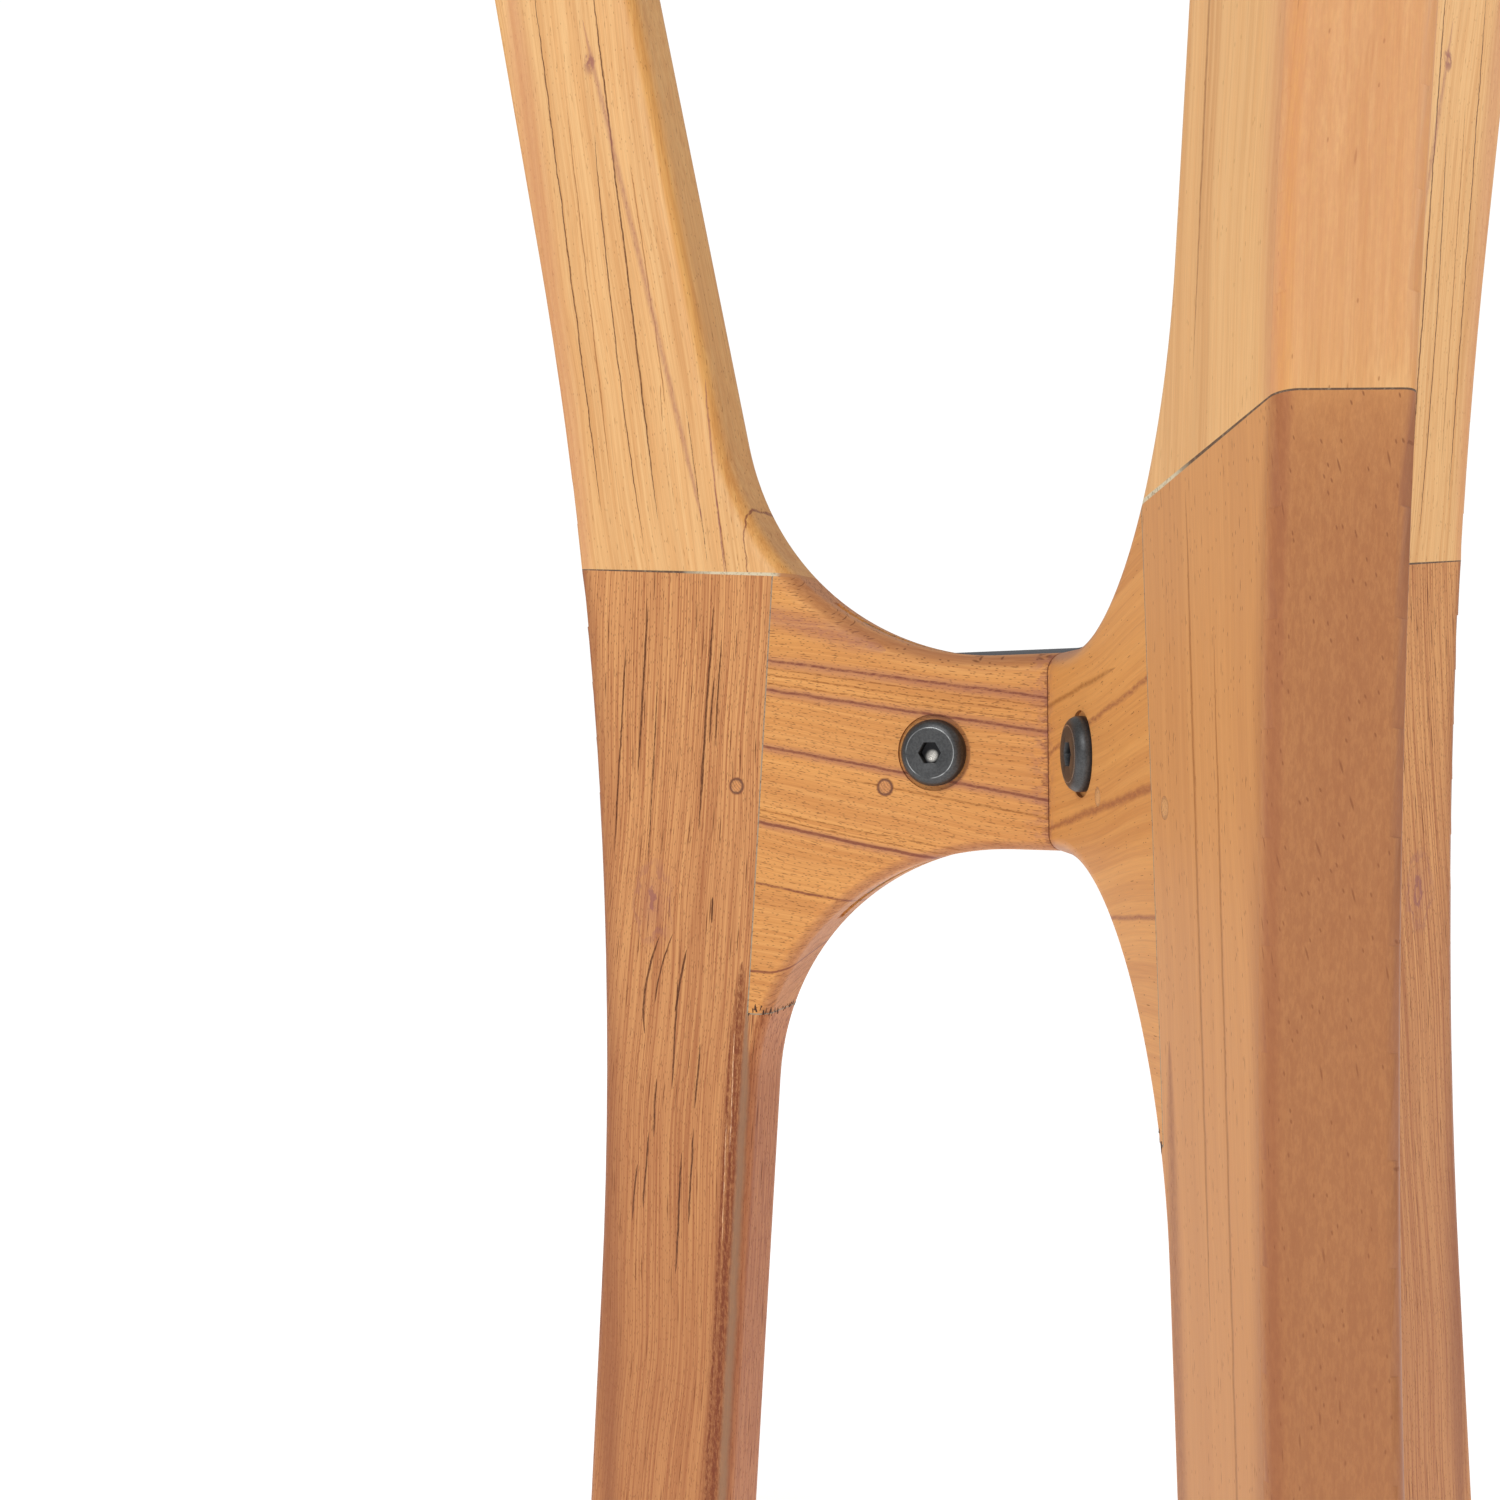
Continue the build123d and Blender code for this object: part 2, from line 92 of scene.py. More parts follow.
class Wiring:
    """A node tree that is being wired, with a short call for each kind of node used here."""

    def __init__(self, tree: bpy.types.NodeTree) -> None:
        """Starts wiring a tree."""
        self.tree = tree

    def node(self, kind: str, **settings: object) -> bpy.types.Node:
        """Adds a node.

        Args:
            kind: its type, without the ShaderNode prefix.
            settings: properties of the node.

        Returns:
            The new node.
        """
        made = self.tree.nodes.new(kind if kind.startswith("Node") else "ShaderNode" + kind)
        for name, value in settings.items():
            setattr(made, name, value)
        return made

    def feed(self, socket: Socket, value: object) -> None:
        """Links a socket, or sets it, to a value.

        Args:
            socket: the input.
            value: another socket, a number, a colour or a vector.
        """
        if isinstance(value, Socket):
            self.tree.links.new(value, socket)
        elif isinstance(value, tuple) and len(value) == 3 and socket.type == "RGBA":
            socket.default_value = (*value, 1)
        else:
            socket.default_value = value

    def fill(self, node: bpy.types.Node, **values: object) -> None:
        """Feeds a node's inputs by name, with underscores for spaces."""
        for label, value in values.items():
            self.feed(node.inputs[label.replace("_", " ")], value)

    def math(self, operation: str, first: object, second: object = 0.0, clamp: bool = False) -> Socket:
        """Adds a Math node.

        Args:
            operation: Blender's name for it.
            first, second: sockets or numbers.
            clamp: keeps the result between 0 and 1.

        Returns:
            Its value.
        """
        made = self.node("Math", operation=operation, use_clamp=clamp)
        self.feed(made.inputs[0], first)
        self.feed(made.inputs[1], second)
        return made.outputs[0]

    def times(self, first: object, second: object) -> Socket:
        """Product of two values."""
        return self.math("MULTIPLY", first, second)

    def plus(self, first: object, second: object) -> Socket:
        """Sum of two values."""
        return self.math("ADD", first, second)

    def minus(self, first: object, second: object) -> Socket:
        """Difference of two values."""
        return self.math("SUBTRACT", first, second)

    def split(self, vector: object) -> list[Socket]:
        """Splits a vector.

        Args:
            vector: the vector's socket.

        Returns:
            Its three values.
        """
        made = self.node("SeparateXYZ")
        self.feed(made.inputs[0], vector)
        return list(made.outputs)

    def step(self, value: object, low: object, high: object) -> Socket:
        """Smooth step.

        Args:
            value: what is measured.
            low: where the step is 0.
            high: where it is 1. It may be less than low.

        Returns:
            The step, from 0 to 1.
        """
        made = self.node("MapRange", interpolation_type="SMOOTHSTEP")
        for name, each in (("Value", value), ("From Min", low), ("From Max", high)):
            self.feed(made.inputs[name], each)
        return made.outputs["Result"]

    def mix(self, share: object, first: object, second: object, blend: str = "MIX") -> Socket:
        """Mixes two colours.

        Args:
            share: share of the second, from 0 to 1.
            first, second: the colours.
            blend: Blender's name for the way they mix.

        Returns:
            The mixed colour.
        """
        made = self.node("Mix", data_type="RGBA", blend_type=blend)
        for place, each in ((0, share), (6, first), (7, second)):
            self.feed(made.inputs[place], each)
        return made.outputs[2]

    def relief(self, height: object, strength: float, depth: float) -> Socket:
        """Bump.

        Args:
            height: the surface's height, from 0 to 1.
            strength: share of the bump that is kept.
            depth: depth of the relief in metres.

        Returns:
            The bumped normal.
        """
        made = self.node("Bump")
        made.inputs["Strength"].default_value = strength
        made.inputs["Distance"].default_value = depth
        self.feed(made.inputs["Height"], height)
        return made.outputs[0]

    def leg_space(self, leg: int) -> Socket:
        """Coordinates of a leg.

        Args:
            leg: the leg's number.

        Returns:
            Out from the axis, through the board, and up from the bolt, in millimetres.
        """
        place = self.node("TexCoord")
        made = self.node("Mapping")
        self.feed(made.inputs["Vector"], place.outputs["Object"])
        made.inputs["Scale"].default_value = (1 / MM,) * 3
        made.inputs["Rotation"].default_value = (0, 0, math.radians(-LEG_ANGLES[leg]))
        made.inputs["Location"].default_value = (0, 0, -BOLT_LEVEL / MM)
        return made.outputs[0]

    def noise(self, vector: object, stretch: tuple, detail: float = 2.0, roughness: float = 0.5) -> Socket:
        """Noise stretched along the board.

        Args:
            vector: board coordinates in millimetres.
            stretch: cells for each millimetre across, through and along the board.
            detail: octaves.
            roughness: share of each further octave.

        Returns:
            Its value, from 0 to 1.
        """
        scaled = self.node("VectorMath", operation="MULTIPLY")
        self.feed(scaled.inputs[0], vector)
        scaled.inputs[1].default_value = stretch
        made = self.node("TexNoise")
        self.feed(made.inputs["Vector"], scaled.outputs[0])
        made.inputs["Scale"].default_value = 1.0
        made.inputs["Detail"].default_value = detail
        made.inputs["Roughness"].default_value = roughness
        return made.outputs["Fac"]

    def spindles(self, vector: object, across: float, along: float, size: float, share: object) -> Socket:
        """Thin spindle-shaped pores that lie along the board, as many on its faces as on its edges.

        Args:
            vector: board coordinates in millimetres.
            across: cells for each millimetre across the board.
            along: cells for each millimetre along it.
            size: radius of a pore, in cells.
            share: share of the cells that hold one.

        Returns:
            A mask, 1 in the middle of a pore.
        """
        parts = self.split(vector)
        placed = self.node("CombineXYZ")
        walk = self.plus(parts[0], self.times(parts[1], 0.6))
        self.feed(placed.inputs[0], self.times(walk, across))
        self.feed(placed.inputs[1], self.times(parts[2], along))
        cells = self.node("TexVoronoi", voronoi_dimensions="2D")
        self.feed(cells.inputs["Vector"], placed.outputs[0])
        cells.inputs["Scale"].default_value = 1.0
        chance = self.node("SeparateColor")
        self.feed(chance.inputs[0], cells.outputs["Color"])
        holds = self.math("LESS_THAN", chance.outputs[0], share)
        return self.times(self.step(cells.outputs["Distance"], size, size * 0.3), holds)


class Effect:
    """A shader node group that several finishes share. It is built once."""

    name = ""
    inputs: tuple = ()
    outputs: tuple = ()

    @classmethod
    def group(cls) -> bpy.types.NodeTree:
        """Finds or builds the group.

        Returns:
            Its node tree, built the first time it is asked for.
        """
        made = bpy.data.node_groups.get(cls.name)
        if made:
            return made
        made = bpy.data.node_groups.new(cls.name, "ShaderNodeTree")
        for label, kind, value in cls.inputs:
            socket = made.interface.new_socket(label, in_out="INPUT", socket_type="NodeSocket" + kind)
            if value is not None:
                socket.default_value = (*value, 1) if kind == "Color" else value
        for label, kind in cls.outputs:
            made.interface.new_socket(label, in_out="OUTPUT", socket_type="NodeSocket" + kind)
        wiring = Wiring(made)
        given = wiring.node("NodeGroupInput").outputs
        result = wiring.node("NodeGroupOutput").inputs
        cls.wire(wiring, given, result)
        return made

    @classmethod
    def wire(cls, wiring: Wiring, given: Sockets, result: Sockets) -> None:
        """Wires the group from its inputs to its outputs."""
        raise NotImplementedError

    @classmethod
    def place(cls, wiring: Wiring, **values: object) -> bpy.types.Node:
        """Places the group in a material.

        Args:
            wiring: the material's wiring.
            values: values or sockets by input name, with underscores for spaces.

        Returns:
            The group's node.
        """
        made = wiring.node("Group")
        made.node_tree = cls.group()
        wiring.fill(made, **values)
        return made


def new_material(name: str) -> tuple[Material, Wiring, bpy.types.Node]:
    """Starts a material.

    Args:
        name: its name.

    Returns:
        The material, its wiring and its Principled BSDF.
    """
    made = bpy.data.materials.new(name)
    made.use_nodes = True
    return made, Wiring(made.node_tree), made.node_tree.nodes["Principled BSDF"]


class TeakFigure(Effect):
    """Straight grain of a teak board: broad bands, streaks, fibres and fine pores."""

    name = "teak_figure"
    inputs = (
        ("Vector", "Vector", None), ("Base", "Color", (0.6, 0.3, 0.1)), ("Pale", "Color", (0.8, 0.5, 0.2)),
        ("Deep", "Color", (0.4, 0.2, 0.08)), ("Pore", "Color", (0.1, 0.05, 0.02)),
        ("Streaks", "Float", 0.5), ("Bands", "Float", 0.5), ("Pores", "Float", 0.4), ("Slits", "Float", 0.2),
        ("Comb", "Float", 0.0),
    )
    outputs = (("Color", "Color"), ("Height", "Float"), ("Roughness", "Float"))

    # cells for each millimetre across, through and along the board
    sway_cells = (0.02, 0.02, 0.012)
    band_cells = (0.14, 0.14, 0.004)
    streak_cells = (0.85, 0.6, 0.012)
    line_cells = (2.6, 1.4, 0.03)
    fibre_cells = (7.0, 5.0, 0.16)
    comb_cells = (2.3, 1.6, 0.016)
    sway = 9.0                      # millimetres that the grain wanders

    @classmethod
    def wire(cls, wiring: Wiring, given: Sockets, result: Sockets) -> None:
        """Wires bands, streaks, fibres and pores into colour, height and roughness.

        Args:
            wiring: the group's wiring.
            given: the group's inputs.
            result: the group's outputs.
        """
        bend = wiring.node("CombineXYZ")
        sway = wiring.noise(given["Vector"], cls.sway_cells, 1.0)
        wiring.feed(bend.inputs[0], wiring.times(wiring.minus(sway, 0.5), cls.sway))
        swayed = wiring.node("VectorMath", operation="ADD")
        wiring.feed(swayed.inputs[0], given["Vector"])
        wiring.feed(swayed.inputs[1], bend.outputs[0])
        board = swayed.outputs[0]

        bands = wiring.step(wiring.noise(board, cls.band_cells, 2.0), 0.35, 0.68)
        streaks = wiring.step(wiring.noise(board, cls.streak_cells, 3.0, 0.6), 0.34, 0.7)
        lines = wiring.step(wiring.noise(board, cls.line_cells, 2.0, 0.6), 0.52, 0.72)
        fibres = wiring.noise(board, cls.fibre_cells, 2.0, 0.7)
        colour = wiring.mix(wiring.times(bands, given["Bands"]), given["Base"], given["Deep"])
        colour = wiring.mix(wiring.times(streaks, given["Streaks"]), colour, given["Pale"])
        deep = wiring.times(lines, wiring.times(given["Streaks"], 0.8))
        colour = wiring.mix(deep, colour, given["Deep"])
        sheen = wiring.node("MapRange")
        wiring.fill(sheen, Value=fibres, From_Min=0.2, From_Max=0.8, To_Min=0.9, To_Max=1.1)
        grey = wiring.node("CombineColor")
        for place in range(3):
            wiring.feed(grey.inputs[place], sheen.outputs[0])
        colour = wiring.mix(1.0, colour, grey.outputs[0], "MULTIPLY")

        comb = wiring.noise(board, cls.comb_cells, 3.0, 0.72)
        dark = wiring.times(wiring.step(comb, 0.5, 0.4), given["Comb"])
        pale = wiring.times(wiring.step(comb, 0.52, 0.61), given["Comb"])
        colour = wiring.mix(wiring.times(dark, 0.9), colour, given["Deep"])
        colour = wiring.mix(wiring.times(pale, 0.7), colour, given["Pale"])
        fine = wiring.spindles(board, across=1.7, along=0.42, size=0.2, share=given["Pores"])
        longer = wiring.spindles(board, across=1.1, along=0.1, size=0.14, share=given["Pores"])
        slits = wiring.spindles(board, across=0.46, along=0.017, size=0.085, share=given["Slits"])
        pores = wiring.math("MAXIMUM", wiring.times(wiring.math("MAXIMUM", fine, longer), 0.7), slits)
        colour = wiring.mix(wiring.times(pores, 0.92), colour, given["Pore"])
        wiring.feed(result["Height"], wiring.minus(wiring.times(fibres, 0.25), pores))
        wiring.feed(result["Roughness"], wiring.plus(wiring.times(pores, 0.25), wiring.times(fibres, 0.12)))
        wiring.feed(result["Color"], colour)


class GrainMark(Effect):
    """One line in the wood that tapers at both ends: a growth line, a slit, a stained band, a painted sheen
    line or painted highlight glints.
    """

    name = "grain_mark"
    inputs = (
        ("Vector", "Vector", None), ("Start", "Float", 0.0), ("End", "Float", 10.0),
        ("At Start", "Float", 0.0), ("At End", "Float", 0.0),
        ("Bow", "Float", 0.0), ("Width", "Float", 0.4), ("Soft", "Float", 0.7),
        ("Tilt", "Float", 0.0), ("Face", "Float", 0.0), ("Broken", "Float", 0.3), ("Wobble", "Float", 0.5),
        ("Wander", "Float", 0.0), ("Grit", "Float", 1.0),
    )
    outputs = (("Mask", "Float"),)

    @classmethod
    def wire(cls, wiring: Wiring, given: Sockets, result: Sockets) -> None:
        """Wires the distance from the line into a mask.

        Args:
            wiring: the group's wiring.
            given: the group's inputs.
            result: the group's outputs.
        """
        parts = wiring.split(given["Vector"])
        across, through, along = parts
        run = wiring.minus(given["End"], given["Start"])
        share = wiring.math("DIVIDE", wiring.minus(along, given["Start"]), run)
        arch = wiring.times(wiring.times(share, wiring.minus(1.0, share)), 4.0)
        rise = wiring.times(share, wiring.minus(given["At End"], given["At Start"]))
        line = wiring.plus(given["At Start"], rise)
        line = wiring.plus(line, wiring.times(arch, given["Bow"]))
        line = wiring.plus(line, wiring.times(through, given["Tilt"]))
        line = wiring.plus(line, wiring.times(given["Wander"], given["Wobble"]))
        gap = wiring.math("ABSOLUTE", wiring.minus(across, line))
        taper = wiring.math("POWER", wiring.math("MULTIPLY", arch, 1.6, clamp=True), 0.6)
        width = wiring.plus(wiring.times(given["Width"], taper), 0.001)
        inner = wiring.times(width, wiring.minus(1.0, given["Soft"]))
        mask = wiring.step(gap, width, inner)
        grit = wiring.times(given["Grit"], given["Broken"])
        grit = wiring.plus(grit, wiring.minus(1.0, given["Broken"]))
        mask = wiring.times(wiring.times(mask, grit), wiring.math("GREATER_THAN", arch, 0.0))
        side = wiring.math("GREATER_THAN", wiring.times(through, given["Face"]), -0.5)
        wiring.feed(result["Mask"], wiring.times(mask, side))


class Knot(Effect):
    """A small knot: swirled rings that fade outwards."""

    name = "knot"
    inputs = (
        ("Vector", "Vector", None), ("Across", "Float", 0.0), ("Along", "Float", 0.0),
        ("Radius", "Float", 6.0), ("Rings", "Float", 1.4),
    )
    outputs = (("Rings Mask", "Float"), ("Heart", "Float"))

    swirl_cells = (0.26, 0.2, 0.16)     # for each millimetre across, through and along
    swirl = 9.0                         # millimetres that the rings stray
    squeeze = 0.55                      # width of the knot for its length

    @classmethod
    def wire(cls, wiring: Wiring, given: Sockets, result: Sockets) -> None:
        """Wires the distance from the knot's heart into rings and a heart mask.

        Args:
            wiring: the group's wiring.
            given: the group's inputs.
            result: the group's outputs.
        """
        parts = wiring.split(given["Vector"])
        across = wiring.minus(parts[0], given["Across"])
        along = wiring.times(wiring.minus(parts[2], given["Along"]), cls.squeeze)
        drift = wiring.noise(given["Vector"], cls.swirl_cells, 4.0, 0.6)
        swirl = wiring.times(wiring.minus(drift, 0.5), cls.swirl)
        far = wiring.math("SQRT", wiring.plus(wiring.times(across, across), wiring.times(along, along)))
        wave = wiring.math("SINE", wiring.times(wiring.plus(far, swirl), given["Rings"]))
        fade = wiring.step(far, given["Radius"], 0.5)
        wiring.feed(result["Rings Mask"], wiring.times(wiring.step(wave, 0.3, 0.95), fade))
        wiring.feed(result["Heart"], wiring.math("POWER", fade, 2.0))


class Speckle(Effect):
    """Fine specks and soft clouds that keep a made surface from looking flat."""

    name = "speckle"
    inputs = (
        ("Vector", "Vector", None), ("Size", "Float", 1.0), ("Low", "Float", 0.4), ("High", "Float", 0.6),
    )
    outputs = (("Mask", "Float"), ("Clouds", "Float"))

    @classmethod
    def wire(cls, wiring: Wiring, given: Sockets, result: Sockets) -> None:
        """Wires two sizes of noise into specks and clouds.

        Args:
            wiring: the group's wiring.
            given: the group's inputs.
            result: the group's outputs.
        """
        scaled = wiring.node("VectorMath", operation="SCALE")
        wiring.feed(scaled.inputs[0], given["Vector"])
        wiring.feed(scaled.inputs["Scale"], wiring.math("DIVIDE", 1.0, given["Size"]))
        specks = wiring.noise(scaled.outputs[0], (1.0, 1.0, 1.0), 4.0, 0.7)
        wiring.feed(result["Mask"], wiring.step(specks, given["Low"], given["High"]))
        wiring.feed(result["Clouds"], wiring.noise(scaled.outputs[0], (0.12, 0.12, 0.12), 2.0))


class Round(Effect):
    """Distance from an axis that runs through a leg's thickness, with rings cut by a turning tool."""

    name = "round"
    inputs = (
        ("Vector", "Vector", None), ("Out", "Float", 0.0), ("Up", "Float", 0.0), ("Pitch", "Float", 0.25),
    )
    outputs = (("Radius", "Float"), ("Rings", "Float"))

    @classmethod
    def wire(cls, wiring: Wiring, given: Sockets, result: Sockets) -> None:
        """Wires the radius and a fine ring pattern.

        Args:
            wiring: the group's wiring.
            given: the group's inputs.
            result: the group's outputs.
        """
        parts = wiring.split(given["Vector"])
        out = wiring.minus(parts[0], given["Out"])
        rise = wiring.minus(parts[2], given["Up"])
        radius = wiring.math("SQRT", wiring.plus(wiring.times(out, out), wiring.times(rise, rise)))
        turns = wiring.math("DIVIDE", wiring.times(radius, 2 * math.pi), given["Pitch"])
        wiring.feed(result["Radius"], radius)
        wiring.feed(result["Rings"], wiring.math("SINE", turns))


class Facing(Effect):
    """How far a surface of a leg looks towards the axis of the base, up or down, and where it rounds over:
    the masks for painted shade.
    """

    name = "facing"
    inputs = (("Normal", "Vector", None),)
    outputs = (("Inward", "Float"), ("Up", "Float"), ("Down", "Float"), ("Rounding", "Float"))

    @classmethod
    def wire(cls, wiring: Wiring, given: Sockets, result: Sockets) -> None:
        """Wires the leg's own normal into masks.

        Args:
            wiring: the group's wiring.
            given: the group's inputs.
            result: the group's outputs.
        """
        parts = wiring.split(given["Normal"])
        out, through, up = parts
        wiring.feed(result["Inward"], wiring.step(out, -0.45, -0.9))
        wiring.feed(result["Up"], wiring.step(up, 0.3, 0.85))
        wiring.feed(result["Down"], wiring.step(up, -0.3, -0.85))
        side = wiring.math("ABSOLUTE", through)
        rounding = wiring.times(wiring.step(side, 0.25, 0.6), wiring.step(side, 0.97, 0.8))
        wiring.feed(result["Rounding"], rounding)


class MitreEdge(Effect):
    """Nibbled fibres and a dusky stain along the mitre between two arms."""

    name = "mitre_edge"
    inputs = (("Vector", "Vector", None),)
    outputs = (("Nibbles", "Float"), ("Stain", "Float"))

    half_corner = math.radians(60)      # half the angle between two arms
    tooth_cells = (0.25, 0.25, 2.2)
    tooth = 1.5
    cloud_cells = (0.3, 0.3, 0.45)
    stain_width = 6.5

    @classmethod
    def wire(cls, wiring: Wiring, given: Sockets, result: Sockets) -> None:
        """Wires the distance from the mitre into both masks.

        Args:
            wiring: the group's wiring.
            given: the group's inputs.
            result: the group's outputs.
        """
        parts = wiring.split(given["Vector"])
        out = wiring.times(parts[0], math.sin(cls.half_corner))
        through = wiring.times(wiring.math("ABSOLUTE", parts[1]), math.cos(cls.half_corner))
        gap = wiring.minus(out, through)
        teeth = wiring.noise(given["Vector"], cls.tooth_cells, 3.0, 0.7)
        reach = wiring.times(wiring.step(teeth, 0.42, 0.68), cls.tooth)
        wiring.feed(result["Nibbles"], wiring.step(wiring.minus(gap, reach), 0.22, 0.0))
        cloud = wiring.step(wiring.noise(given["Vector"], cls.cloud_cells, 3.0, 0.7), 0.42, 0.62)
        wiring.feed(result["Stain"], wiring.times(cloud, wiring.step(gap, cls.stain_width, 0.6)))


class Tone(Enum):
    """What a mark paints on teak: colour, strength and how deep it is cut. Most are stains in the wood; the
    pale glint is a painted highlight, the grey a painted sheen on a rounded edge, and the dusk a soft darker
    band along a board's edge.
    """

    GROWTH = (srgb(122, 62, 46), 0.85, 0.3)
    HALO = (srgb(166, 108, 92), 0.6, 0.0)
    SLIT = (srgb(84, 38, 8), 0.95, 0.8)
    DUSK = (srgb(146, 86, 54), 0.7, 0.0)
    BLUR = (srgb(146, 80, 54), 0.8, 0.0)
    FAINT = (srgb(150, 90, 38), 0.75, 0.3)
    PINK = (srgb(205, 140, 100), 0.6, 0.0)
    PURPLE = (srgb(150, 92, 84), 0.7, 0.1)
    RED = (srgb(122, 56, 24), 0.92, 0.3)
    # painted sheen on a rounded edge
    GREY = (srgb(150, 118, 92), 0.75, 0.0)
    # painted highlight: pale glints
    GLINT = (srgb(255, 205, 160), 0.85, -0.3)


@dataclass(frozen=True)
class Mark:
    """A grain mark: where it starts and ends along the board, and where it is across it, in mm."""

    start: float
    end: float
    at_start: float
    at_end: float
    tone: Tone = Tone.SLIT
    width: float = 0.4
    bow: float = 0.0
    soft: float = 0.7
    tilt: float = 0.0
    face: float = 0.0
    broken: float = 0.3
    wobble: float = 0.4


def slit(start: float, end: float, at_start: float, at_end: float, width: float, **more: float) -> Mark:
    """A crisp open pore on the outer face, as long as a fingernail or more."""
    return Mark(start, end, at_start, at_end, Tone.SLIT, width, face=1, soft=0.35, **more)


def growth_line(
    start: float, end: float, at_start: float, at_end: float, halo: float, **more: float,
) -> tuple[Mark, Mark]:
    """A growth line and the stain beside it.

    Args:
        start, end: where it starts and ends along the board.
        at_start, at_end: where it is across the board.
        halo: half the stain's width.
        more: the line's own width, softness and breaks.

    Returns:
        The stain and the line.
    """
    beside = 0.2
    stain = Mark(start, end, at_start - beside, at_end - beside, Tone.HALO, halo, soft=1.0)
    return stain, Mark(start, end, at_start, at_end, Tone.GROWTH, **more)


class Lie(Enum):
    """Which way a board's grain lies in its leg."""

    UPRIGHT = "upright"
    LEVEL = "level"


@dataclass(frozen=True)
class TeakFinish:
    """Satin-varnished teak of one board."""

    name: str
    base: Colour
    pale: Colour
    deep: Colour
    pore: Colour
    lie: Lie = Lie.UPRIGHT
    slope: float = 0.0              # degrees that the grain leans from the lie
    streaks: float = 0.5
    bands: float = 0.5
    pores: float = 0.4
    slits: float = 0.2
    comb: float = 0.0               # fine dark and pale streaks
    roughness: float = 0.42
    coat: float = 0.25
    bump: float = 0.25
    marks: tuple[Mark, ...] = ()
    knots: tuple[tuple[float, float, float], ...] = ()
    inward: Colour = srgb(196, 136, 96)     # painted shade on faces towards the axis
    rounding: Colour = srgb(206, 150, 108)  # painted shade where they round over
    upper: Colour = srgb(204, 144, 98)      # painted shade on faces that look up or down
    # how strongly the painted shade by face direction is laid on
    facing_shade_share: float = 0.6
    fade_share: float = 0.0                 # darkening down the board
    fade_from: float = 30.0
    fade_to: float = -170.0
    mitred: bool = False
    pin_out: float = 0.0                    # radius at which a pin passes through, if one does
    pin_stain: float = 0.55
    bore_shadow_drop: float = 0.6                  # painted shadow crescent in the counterbore, centred below its middle
    # strength of the painted counterbore shadow and of the mitre stain
    bore_shadow_and_mitre_stain: float = 0.45
    mitre_nibbles: float = 0.5
    knot_heart: float = 0.3
    knot_rings: float = 0.75
    wander_cells: tuple[float, float, float] = (0.05, 0.05, 0.16)
    grit_cells: tuple[float, float, float] = (1.5, 1.5, 0.5)
    board_steps: tuple[float, float, float] = (37.0, 11.0, 53.0)    # moves the figure on for each leg
    bump_depth: float = 0.0003
    coat_roughness: float = 0.28
    specular: float = 0.24

    def along_grain(self, wiring: Wiring, place: Socket) -> Socket:
        """Board coordinates, with the grain's general direction last.

        Args:
            wiring: the material's wiring.
            place: the leg's coordinates.

        Returns:
            The coordinates in mm.
        """
        if self.lie is Lie.UPRIGHT:
            return place
        out, through, up = wiring.split(place)
        level = wiring.node("CombineXYZ")
        for index, part in enumerate((up, through, out)):
            wiring.feed(level.inputs[index], part)
        return level.outputs[0]

    def paint_facing_shade(self, wiring: Wiring, colour: Socket, leg: int) -> Socket:
        """Paints shade on the faces that look towards the axis, up or down, and on the rounded edges.

        Args:
            wiring: the material's wiring.
            colour: the colour so far.
            leg: the leg's number.

        Returns:
            The colour with painted shade.
        """
        turned = wiring.node("Mapping", vector_type="VECTOR")
        wiring.feed(turned.inputs["Vector"], wiring.node("TexCoord").outputs["Normal"])
        turned.inputs["Rotation"].default_value = (0, 0, math.radians(-LEG_ANGLES[leg]))
        facing = Facing.place(wiring, Normal=turned.outputs[0]).outputs
        facing_shades = {"Inward": self.inward, "Up": self.upper, "Down": self.upper, "Rounding": self.rounding}
        for mask, tone in facing_shades.items():
            ratio = tuple(part / whole for part, whole in zip(tone, self.base))
            colour = wiring.mix(wiring.times(facing[mask], self.facing_shade_share), colour, ratio, "MULTIPLY")
        return colour

    def stains_and_bore_shadow(self, wiring: Wiring, colour: Socket, place: Socket) -> Socket:
        """Stains the wood round a pin and along the mitre, and paints shadow in the counterbore's edge.

        Args:
            wiring: the material's wiring.
            colour: the colour so far.
            place: the leg's coordinates.

        Returns:
            The colour with stains and painted shadow.
        """
        growth, halo = Tone.GROWTH.value[0], Tone.HALO.value[0]
        if self.pin_out:
            pin = Round.place(wiring, Vector=place, Out=self.pin_out, Up=-Leg.pin_drop, Pitch=1.0)
            ring = wiring.step(pin.outputs["Radius"], Leg.pin_radius + 0.5, Leg.pin_radius + 0.1)
            colour = wiring.mix(wiring.times(ring, self.pin_stain), colour, growth)
        if self.mitred:
            out = ConnectorHead.out
            bore = Round.place(wiring, Vector=place, Out=out, Up=-self.bore_shadow_drop, Pitch=1.0).outputs["Radius"]
            # painted shadow: a dark crescent in the counterbore, on the side towards the axis
            stain = wiring.times(wiring.step(bore, 9.6, 8.7), wiring.step(bore, 7.6, 8.3))
            stain = wiring.times(stain, wiring.step(wiring.split(place)[0], out + 2.0, out - 5.0))
            colour = wiring.mix(wiring.times(stain, self.bore_shadow_and_mitre_stain), colour, growth)
            mitre = MitreEdge.place(wiring, Vector=place).outputs
            colour = wiring.mix(wiring.times(mitre["Stain"], self.bore_shadow_and_mitre_stain), colour, halo)
            colour = wiring.mix(wiring.times(mitre["Nibbles"], self.mitre_nibbles), colour, growth)
        return colour

    def knotted(self, wiring: Wiring, colour: Socket, board: Socket) -> Socket:
        """Adds the board's knots.

        Args:
            wiring: the material's wiring.
            colour: the colour so far.
            board: the board's coordinates.

        Returns:
            The colour with the knots.
        """
        halo, purple = Tone.HALO.value[0], Tone.PURPLE.value[0]
        for across, along, radius in self.knots:
            knot = Knot.place(wiring, Vector=board, Across=across, Along=along, Radius=radius).outputs
            colour = wiring.mix(wiring.times(knot["Heart"], self.knot_heart), colour, halo)
            colour = wiring.mix(wiring.times(knot["Rings Mask"], self.knot_rings), colour, purple)
        return colour

